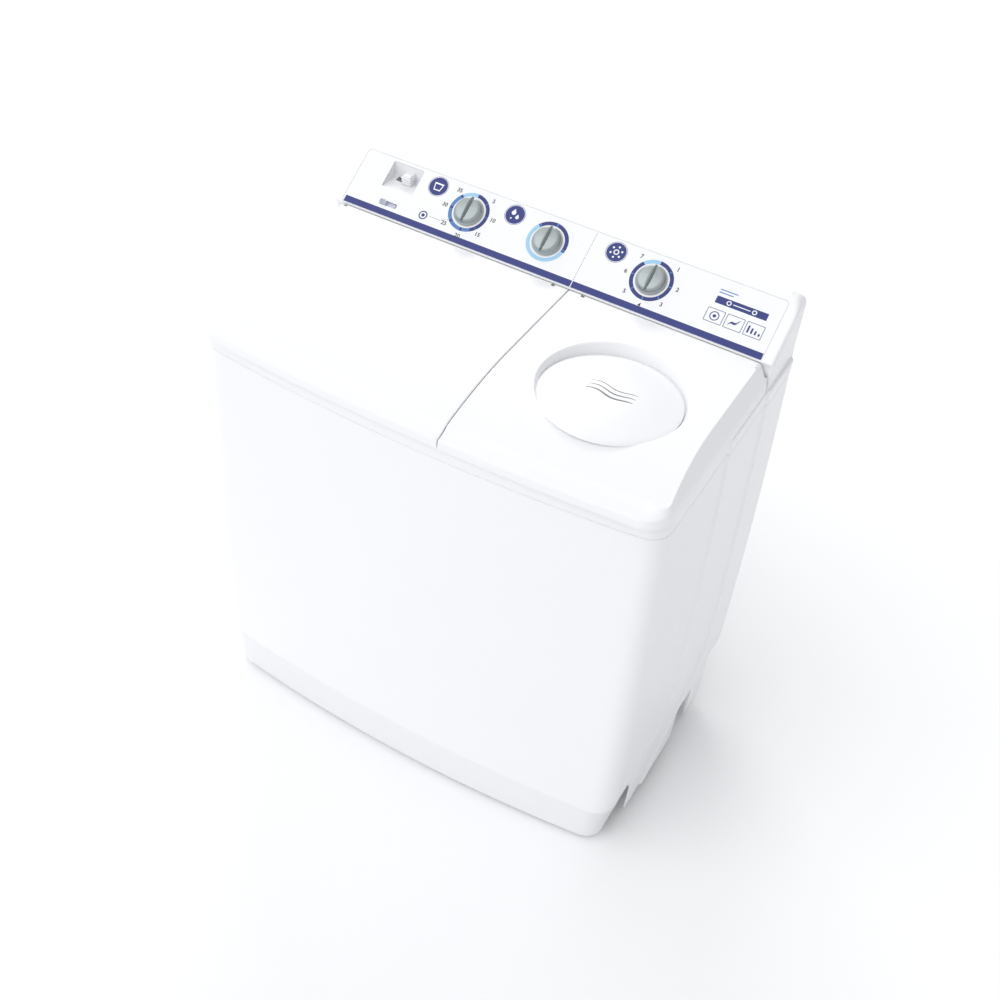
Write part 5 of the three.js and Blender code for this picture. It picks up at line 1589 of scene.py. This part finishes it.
def brake_drum():
    x, y, low, high, radius = middle_of("brake_drum")
    bore = 7.4
    profile = [
        (bore, low), (radius - 1.5, low), (radius, low + 1.5), (radius, low + 29),
        (radius - 1, low + 30), (radius - 4, low + 30),
    ]
    profile += [
        (radius - 5, low + 29), (radius - 5, low + 6), (22, low + 5), (22, high - 1.5), (20.5, high),
        (bore, high),
    ]
    drum = revolve("brake_drum_cup", soften(closed(profile), 0.8, count=2), x, y, 96)
    screw = moved(
        soft_brick("set_screw", (18, -3, high - 10), (24.4, 3, high - 4), 1, 2),
        Matrix.Translation((x * MM, y * MM, 0)),
    )
    done(joined("brake_drum_piece", [drum, screw]), "basket", "zinc_steel", stands_for=["brake_drum"])


def bellows():
    low, high = middle_of("spin_bellows")[2:4]
    floor = low + 52
    outer = [
        (8, low), (20, low), (26, low + 12), (20, low + 22), (32, low + 34), (24, low + 44),
        (33, floor - 0.5), (33, floor + 5),
    ]
    outer += [(48, floor + 3.4), (48, high - 1)]
    inner = [(28, high), (18, floor - 8), (26, low + 34), (14, low + 22), (20, low + 12), (8, low + 6)]
    profile = outer + inner
    turned("spin_bellows", "cabinet", "rubber", soften(closed(profile), 3.5, count=5), 72)


def spring(name):
    low, high = size_of(name)
    x, y = (low.x + high.x) / 2, (low.y + high.y) / 2
    wire = 2.3
    coil = (high.x - low.x) / 2 - wire
    turns, steps = 4, 112
    rings = []
    for k in range(steps + 1):
        t = k / steps
        turn = t * turns * math.tau
        z = low.z + wire + (high.z - low.z - 2 * wire) * t
        outward = Vector((math.cos(turn), math.sin(turn), 0))
        spot = Vector((x, y, z)) + outward * coil
        row = []
        for i in range(12):
            a = i * math.tau / 12
            row.append(tuple(spot + outward * wire * math.cos(a) + Vector((0, 0, wire * math.sin(a)))))
        rings.append(row)
    done(loft(name + "_coil", rings, caps=(True, True)), "cabinet", "steel", stands_for=[name])


def safety_cover():
    low = size_of("safety_cover")[0]
    x, y = SPIN_X, SPIN_Y
    pivot = Vector(joint_named("safety_cover_hinge")["pos_m"]) / MM
    radius = SPIN_MOUTH - 2.2
    top = pivot.z - 2
    profile = [
        (0, top - 4), (radius - 8, top - 4), (radius - 8, low.z + 1), (radius - 6.8, low.z),
        (radius - 2, low.z),
    ]
    profile += [
        (radius - 1, low.z + 1), (radius - 1, top - 5), (radius, top - 3), (radius, top - 1),
        (radius - 1.2, top),
    ]
    profile += [
        (124, top), (121, top - 1.6), (112, top - 1.6), (109, top), (72, top), (69, top - 1.4),
        (64, top - 1.4), (61, top), (0, top),
    ]
    disc = revolve("disc", soften(profile, 0.9, count=3), x, y, 144)
    holes = []
    for r, size in ((45, 8.0), (90, 8.0)):
        for k in range(6):
            turn = k * math.tau / 6
            holes.append(rod(
                "hole", x + r * math.cos(turn), y + r * math.sin(turn), top - 20, top + 10, size, 40,
            ))
    cut(disc, joined("holes", holes))
    tongue = soft_brick("tongue", (x - 40, y + SPIN_MOUTH - 20, top), (x + 40, pivot.y, top + 3), 1.2, 3)
    knuckle = rounded(prism("knuckle", circle(pivot.y, pivot.z, 3.3, 32), x - 40, x + 40, "x"), 0.6, 2)
    stub = rounded(prism("stub", circle(pivot.y, pivot.z, 2.1, 24), x - 48, x + 48, "x"), 0.4, 2)
    grip = soft_brick(
        "grip", (x - 26, y - SPIN_MOUTH + 12, top - 1), (x + 26, y - SPIN_MOUTH + 24, top + 2.6), 2.2,
        4,
    )
    made = joined("safety_cover_disc", [disc, tongue, knuckle, stub, grip])
    done(made, "safety_cover", "blue_plastic", stands_for=["safety_cover"])


# ---------------------------------------------------------------- water ways

def tube_along(name, route, radius, sides=28, steps=9):
    """A round tube through the points of a route."""
    points = [Vector(p) for p in route]
    ends = [points[0] * 2 - points[1]] + points + [points[-1] * 2 - points[-2]]
    path = []
    for i in range(1, len(ends) - 2):
        a, b, c, d = ends[i - 1:i + 3]
        for k in range(steps):
            t = k / steps
            path.append(0.5 * (2 * b + (c - a) * t + (2 * a - 5 * b + 4 * c - d) * t * t
                               + (3 * b - a - 3 * c + d) * t ** 3))
    path.append(points[-1])
    rings = []
    level = Vector((1, 0, 0))
    for k, spot in enumerate(path):
        along = (path[min(k + 1, len(path) - 1)] - path[max(k - 1, 0)]).normalized()
        level = (level - along * level.dot(along)).normalized()
        across = along.cross(level)
        rings.append([tuple(spot + (level * math.cos(a) + across * math.sin(a)) * radius)
                      for a in (i * math.tau / sides for i in range(sides))])
    return loft(name, rings, caps=(True, True))


def drain():
    x, y, low, high, radius = middle_of("drain_valve_body")
    profile = [
        (16, low), (30, low), (30, high - 4), (radius - 1, high - 3.4), (radius, high - 2.4),
        (radius, high - 0.8),
    ]
    profile += [(radius - 0.8, high), (18, high), (18, low + 20), (16, low + 18)]
    turned("drain_valve_body", "cabinet", "base_grey", soften(closed(profile), 1.0, count=2), 64)
    x, y, low, high, radius = middle_of("drain_plunger")
    profile = [
        (0, low), (3, low), (3, low + 9), (radius - 1, low + 11.4), (radius, low + 13),
        (radius, low + 25), (radius - 4, low + 30),
    ]
    profile += [(4, low + 32), (4, high - 1), (3, high), (0, high)]
    turned("drain_plunger", "drain_plunger", "rubber", soften(profile, 1.2, count=3), 56)
    end = middle_of("drain_outlet")
    level = (size_of("drain_outlet")[0].z + size_of("drain_outlet")[1].z) / 2
    route = [
        (x, y, 351), (x, y + 8, 320), (x + 5, y + 50, 290), (x + 40, y + 105, 270),
        (x + 140, y + 116, 230),
    ]
    route += [
        (0, 176, 160), (200, 162, 100), (310, 140, 84), (360, 142, level), (end[0] - 6, 166, level),
        (end[0], 206, level),
    ]
    done(tube_along("drain_hose", route, 13.9), "cabinet", "base_grey", stands_for=["drain_pipe"])
    outlet()


def outlet():
    low, high = size_of("drain_outlet")
    x, z = (low.x + high.x) / 2, (low.z + high.z) / 2
    length = high.y - low.y
    profile = [
        (15, 0), (22, 0), (22, 4), (18, 4.4), (18, 17), (20, 19.5), (20, 22), (18, 25), (18, 31),
        (20, 33.5), (20, 36), (18, 39),
    ]
    profile += [(18, length - 1), (17, length), (15.6, length), (15, length - 1)]
    stub = revolve("stub", soften(closed(profile), 0.8, count=2), 0, 0, 72)
    flange = plate("flange", [box_outline(-26, -26, 26, 26, 7), circle(0, 0, 15, 48)], 0, 4, 0.7)
    heads = [
        revolve("head", [(0, 4), (3, 4), (3, 5.4), (2, 6.4), (0, 6.6)], sx * 20, sy * 20, 20)
        for sx in (-1, 1)
        for sy in (-1, 1)
    ]
    made = joined("drain_outlet_spigot", [stub, flange, *heads])
    moved(made, Matrix.Translation((x * MM, low.y * MM, z * MM)) @ Matrix.Rotation(-math.pi / 2, 4, "X"))
    done(made, "cabinet", "dark_plastic", stands_for=["drain_outlet"])


def overflow_cover():
    low, high = size_of("overflow_cover")
    shell = soft_brick("overflow_cover_grid", tuple(low), tuple(high), 3.4, 4)
    hollow = soft_brick(
        "hollow", (low.x + 2.6, low.y + 3, low.z + 3), (high.x + 20, high.y - 3, high.z - 3), 2, 3,
    )
    slots = [soft_brick("slot", (low.x - 8, low.y + 18, z), (low.x + 8, high.y - 18, z + 8), 2.4, 3)
             for z in (low.z + 14 + k * 21 for k in range(13))]
    cut(shell, hollow, joined("slots", slots))
    done(shell, "cabinet", "tub_white", stands_for=["overflow_cover"])


def lint_filter():
    """A frame that carries a net bag, hooked on the wash tub's wall."""
    low, high = size_of("lint_filter")
    face, border = low.x + 9, 12.0
    frame_piece = plate("frame", [
        box_outline(low.y, low.z, high.y, high.z, 8),
        box_outline(low.y + border, low.z + border, high.y - border, high.z - border, 5),
    ], low.x, face, 1.4)
    turn = Matrix(((0, 0, 1, 0), (1, 0, 0, 0), (0, 1, 0, 0), (0, 0, 0, 1)))
    moved(frame_piece, turn)
    bars = []
    y0, y1, z0, z1 = low.y + border - 1, high.y - border + 1, low.z + border - 1, high.z - border + 1
    for k in range(19):
        y = y0 + (y1 - y0) * k / 18
        bars.append(brick("thread", (high.x - 2.2, y - 0.55, z0), (high.x - 1.2, y + 0.55, z1)))
    for k in range(33):
        z = z0 + (z1 - z0) * k / 32
        bars.append(brick("thread", (high.x - 1.4, y0, z - 0.55), (high.x - 0.4, y1, z + 0.55)))
    walls = [soft_brick("lip", (face - 3, y0, z0 - 2), (high.x, y1, z0 + 1), 0.8, 2)]
    walls.append(soft_brick("lip", (face - 3, y0, z1 - 1), (high.x, y1, z1 + 2), 0.8, 2))
    walls.append(soft_brick("lip", (face - 3, y0 - 1, z0), (high.x, y0 + 1.6, z1), 0.8, 2))
    walls.append(soft_brick("lip", (face - 3, y1 - 1.6, z0), (high.x, y1 + 1, z1), 0.8, 2))
    made = joined("lint_filter_net", [frame_piece, *bars, *walls])
    done(made, "lint_filter", "blue_plastic", stands_for=["lint_filter"])


# ---------------------------------------------------------------- the inlet, the back and its fittings

def inlet():
    """The fill notch: a level floor, an upright back, a left wall that lies in shade and a ribbed nozzle, all in a
    grey darker than the white plastic as painted shade.
    """
    left, bottom, right, top = INLET
    floor = PANEL_FOOT.z + bottom * UP_SLOPE.z
    back = PANEL_FOOT.y + top * UP_SLOPE.y
    front = PANEL_FOOT.y + bottom * UP_SLOPE.y
    peak = PANEL_FOOT.z + top * UP_SLOPE.z
    wall = 1.8
    drop = 2.2
    trough = [(front + 1.4, floor - 1.0), (back - 3, floor), (back, floor + 3), (back, peak - 1.4)]
    outer = [
        (front + 2.4, floor - 1.0 - wall - drop), (back + 1, floor - wall - drop),
        (back + wall + drop, floor), (back + wall, peak - 1.8),
    ]
    sheet = prism("trough", soften(trough, 2, count=3) + soften(outer, 3, count=3)[::-1], left, right, "x")
    cheek = [(front + 2.6, floor - 4), (back + 4, floor - 4), (back + 2, peak - 2)]
    cheeks = [prism("cheek", cheek, a, b, "x") for a, b in ((left - wall, left), (right, right + wall))]
    x, reach = -345.0, 20.0
    nozzle = soft_brick("nozzle", (x - 9, back - reach, floor - 1), (x + 9, back + 1, floor + 20), 2.2, 4)
    ribs = [
        soft_brick("rib", (x - 11, back - reach - 2, floor + up), (x + 11, back, floor + up + 2), 0.9, 3)
        for up in (3, 8, 13)
    ]
    mouth = prism("spout", [(left + 8, 84.4), (left + 30, 84.4), (left + 30, 100), (left + 8, 100)], -52, -27)
    way = prism("way", [(left + 10, 86.4), (left + 28, 86.4), (left + 28, 98), (left + 10, 98)], -60, 0)
    spout = moved(cut(mouth, way), PANEL)
    hole = moved(prism("way", box_outline(left + 10, 86.4, left + 28, 98, 2), -60, 5), PANEL)
    cut(sheet, hole)
    made = joined("inlet_notch", [sheet, *cheeks, nozzle, *ribs, spout])
    # The notch's grey (shadow_grey) is painted shade: a darker copy of the white plastic.
    done(made, "cabinet", "tub_white", "shadow_grey", stands_for=["inlet_funnel"])


def back_cover():
    low, high = size_of("back_cover")
    holes = [circle(x, z, 2.9, 20) for x in (low.x + 9, high.x - 9) for z in (low.z + 9, high.z - 8)]
    louvres = []
    for x in (-220, 220):
        for k in range(5):
            z = low.z + 88 + k * 26
            louvres.append((x, z))
            holes.append(box_outline(x - 45, z, x + 45, z + 8, 3))
    sheet = plate("sheet", [box_outline(low.x, low.z, high.x, high.z, 10), *holes], 0, high.y - low.y, 0.4)
    hoods = []
    for x, z in louvres:
        outline = [(0.2, z + 8.6), (1.4, z + 8.6), (1.4 + 1.6, z + 2.4), (1.4 + 1.0, z + 2.0), (0.2, z + 8.0)]
        hoods.append(prism("hood", outline, x - 44, x + 44, "x"))
    moved(
        sheet,
        Matrix.Translation((0, low.y * MM, 0)) @ Matrix((
            (1, 0, 0, 0), (0, 0, 1, 0), (0, 1, 0, 0), (0, 0, 0, 1),
        )),
    )
    for hood in hoods:
        moved(hood, Matrix.Translation((0, low.y * MM, 0)))
    beads = [soft_brick("bead", (x0, high.y - 0.6, z), (x1, high.y + 1.2, z + 5), 1.2, 3)
             for x0, x1, z in ((-360, 360, high.z - 60), (-360, 360, low.z + 50),
                                (-360, 360, (low.z + high.z) / 2))]
    made = joined("back_cover_sheet", [sheet, *hoods, *beads])
    done(made, "cabinet", "base_grey", stands_for=["back_cover"], smooth=20)


def screws():
    for k in range(1, 5):
        name = f"back_cover_screw_{k}"
        low, high = size_of(name)
        x, z = (low.x + high.x) / 2, (low.z + high.z) / 2
        length = high.y - low.y
        head = length - 1.5
        profile = [
            (0, 0), (1.2, 0), (2, 1.6), (2, head), (5, head), (5, head + 0.5), (3.8, head + 1.2),
            (1.6, length), (0, length),
        ]
        body = revolve(name + "_pan_head", profile, 0, 0, 36)
        slot_a = brick("a", (-3, -0.5, length - 0.9), (3, 0.5, length + 1))
        slot_b = brick("b", (-0.5, -3, length - 0.9), (0.5, 3, length + 1))
        cut(body, slot_a, slot_b)
        moved(body, Matrix.Translation((x * MM, low.y * MM, z * MM)) @ Matrix.Rotation(-math.pi / 2, 4, "X"))
        done(body, "cabinet", "zinc_steel", stands_for=[name])


def cord_gland():
    low, high = size_of("cord_gland")
    x, z, flange = (low.x + high.x) / 2, (low.z + high.z) / 2, (high.x - low.x) / 2
    length = high.y - low.y
    profile = [
        (4.6, 0.4), (5.2, 0), (flange - 0.8, 0), (flange, 0.8), (flange, 2.0), (flange - 0.8, 2.8),
        (8.3, 2.8),
    ]
    profile += [(8.3, length - 0.8), (7.6, length), (5.4, length), (4.6, length - 0.8)]
    body = revolve("cord_gland_ring", closed(profile), 0, 0, 56)
    moved(body, Matrix.Translation((x * MM, low.y * MM, z * MM)) @ Matrix.Rotation(-math.pi / 2, 4, "X"))
    done(body, "cabinet", "dark_plastic", stands_for=["cord_gland"])


# ---------------------------------------------------------------- everything, and the rest of the frame

def keep_rest():
    """Gives each CAD node that is still shown the material of its slot."""
    slots = {row["node"]: row["material_slot"] for row in frame["record"]["subparts"]}
    for name, obj in frame["nodes"].items():
        if name in SHOWN:
            continue
        obj.data.materials.clear()
        obj.data.materials.append(LOOKS[slots[name]])


def make_floor():
    material, tree, shader = new_material("pale_floor")
    shade = shade_between(tree, noise_on(tree, 1.2, 2.0), (0.93, 0.935, 0.945), 0.004)
    tree.links.new(shade, shader.inputs["Base Color"])
    shader.inputs["Roughness"].default_value = 0.9
    shader.inputs["Specular IOR Level"].default_value = 0.1
    mesh = bpy.data.meshes.new("floor")
    reach = 14.0
    low = CAD_BOX[0].z
    mesh.from_pydata(
        [(-reach, -reach, low), (reach, -reach, low), (reach, reach, low), (-reach, reach, low)], [],
        [(0, 1, 2, 3)],
    )
    mesh.materials.append(material)
    new_object("floor", mesh)


make_camera()
make_world()
make_lights()
make_floor()
cabinet()
base()
feet()
top_frame()
lids()
dome()
housing()
fascia()
print_stripe()
print_dials()
print_symbols()
print_right_end()
for dial in ("wash", "selector", "spin"):
    knob(dial)
slider()
wash_tub()
pulsator()
for name, body in (
    ("pulsator_shaft", "agitator"), ("wash_motor_shaft", "motor_drive"), ("spin_shaft", "basket"),
):
    upright_rod(name, body, "steel")
pulley("pulsator_pulley", "agitator")
pulley("motor_pulley", "motor_drive")
bearing_housing()
motor("wash_motor", 6.0)
motor("spin_motor", 7.0)
drive_belt()
spin_tub()
spin_basket()
brake_drum()
bellows()
for name in ("suspension_spring_1", "suspension_spring_2", "suspension_spring_3"):
    spring(name)
safety_cover()
drain()
overflow_cover()
lint_filter()
inlet()
back_cover()
screws()
cord_gland()
keep_rest()
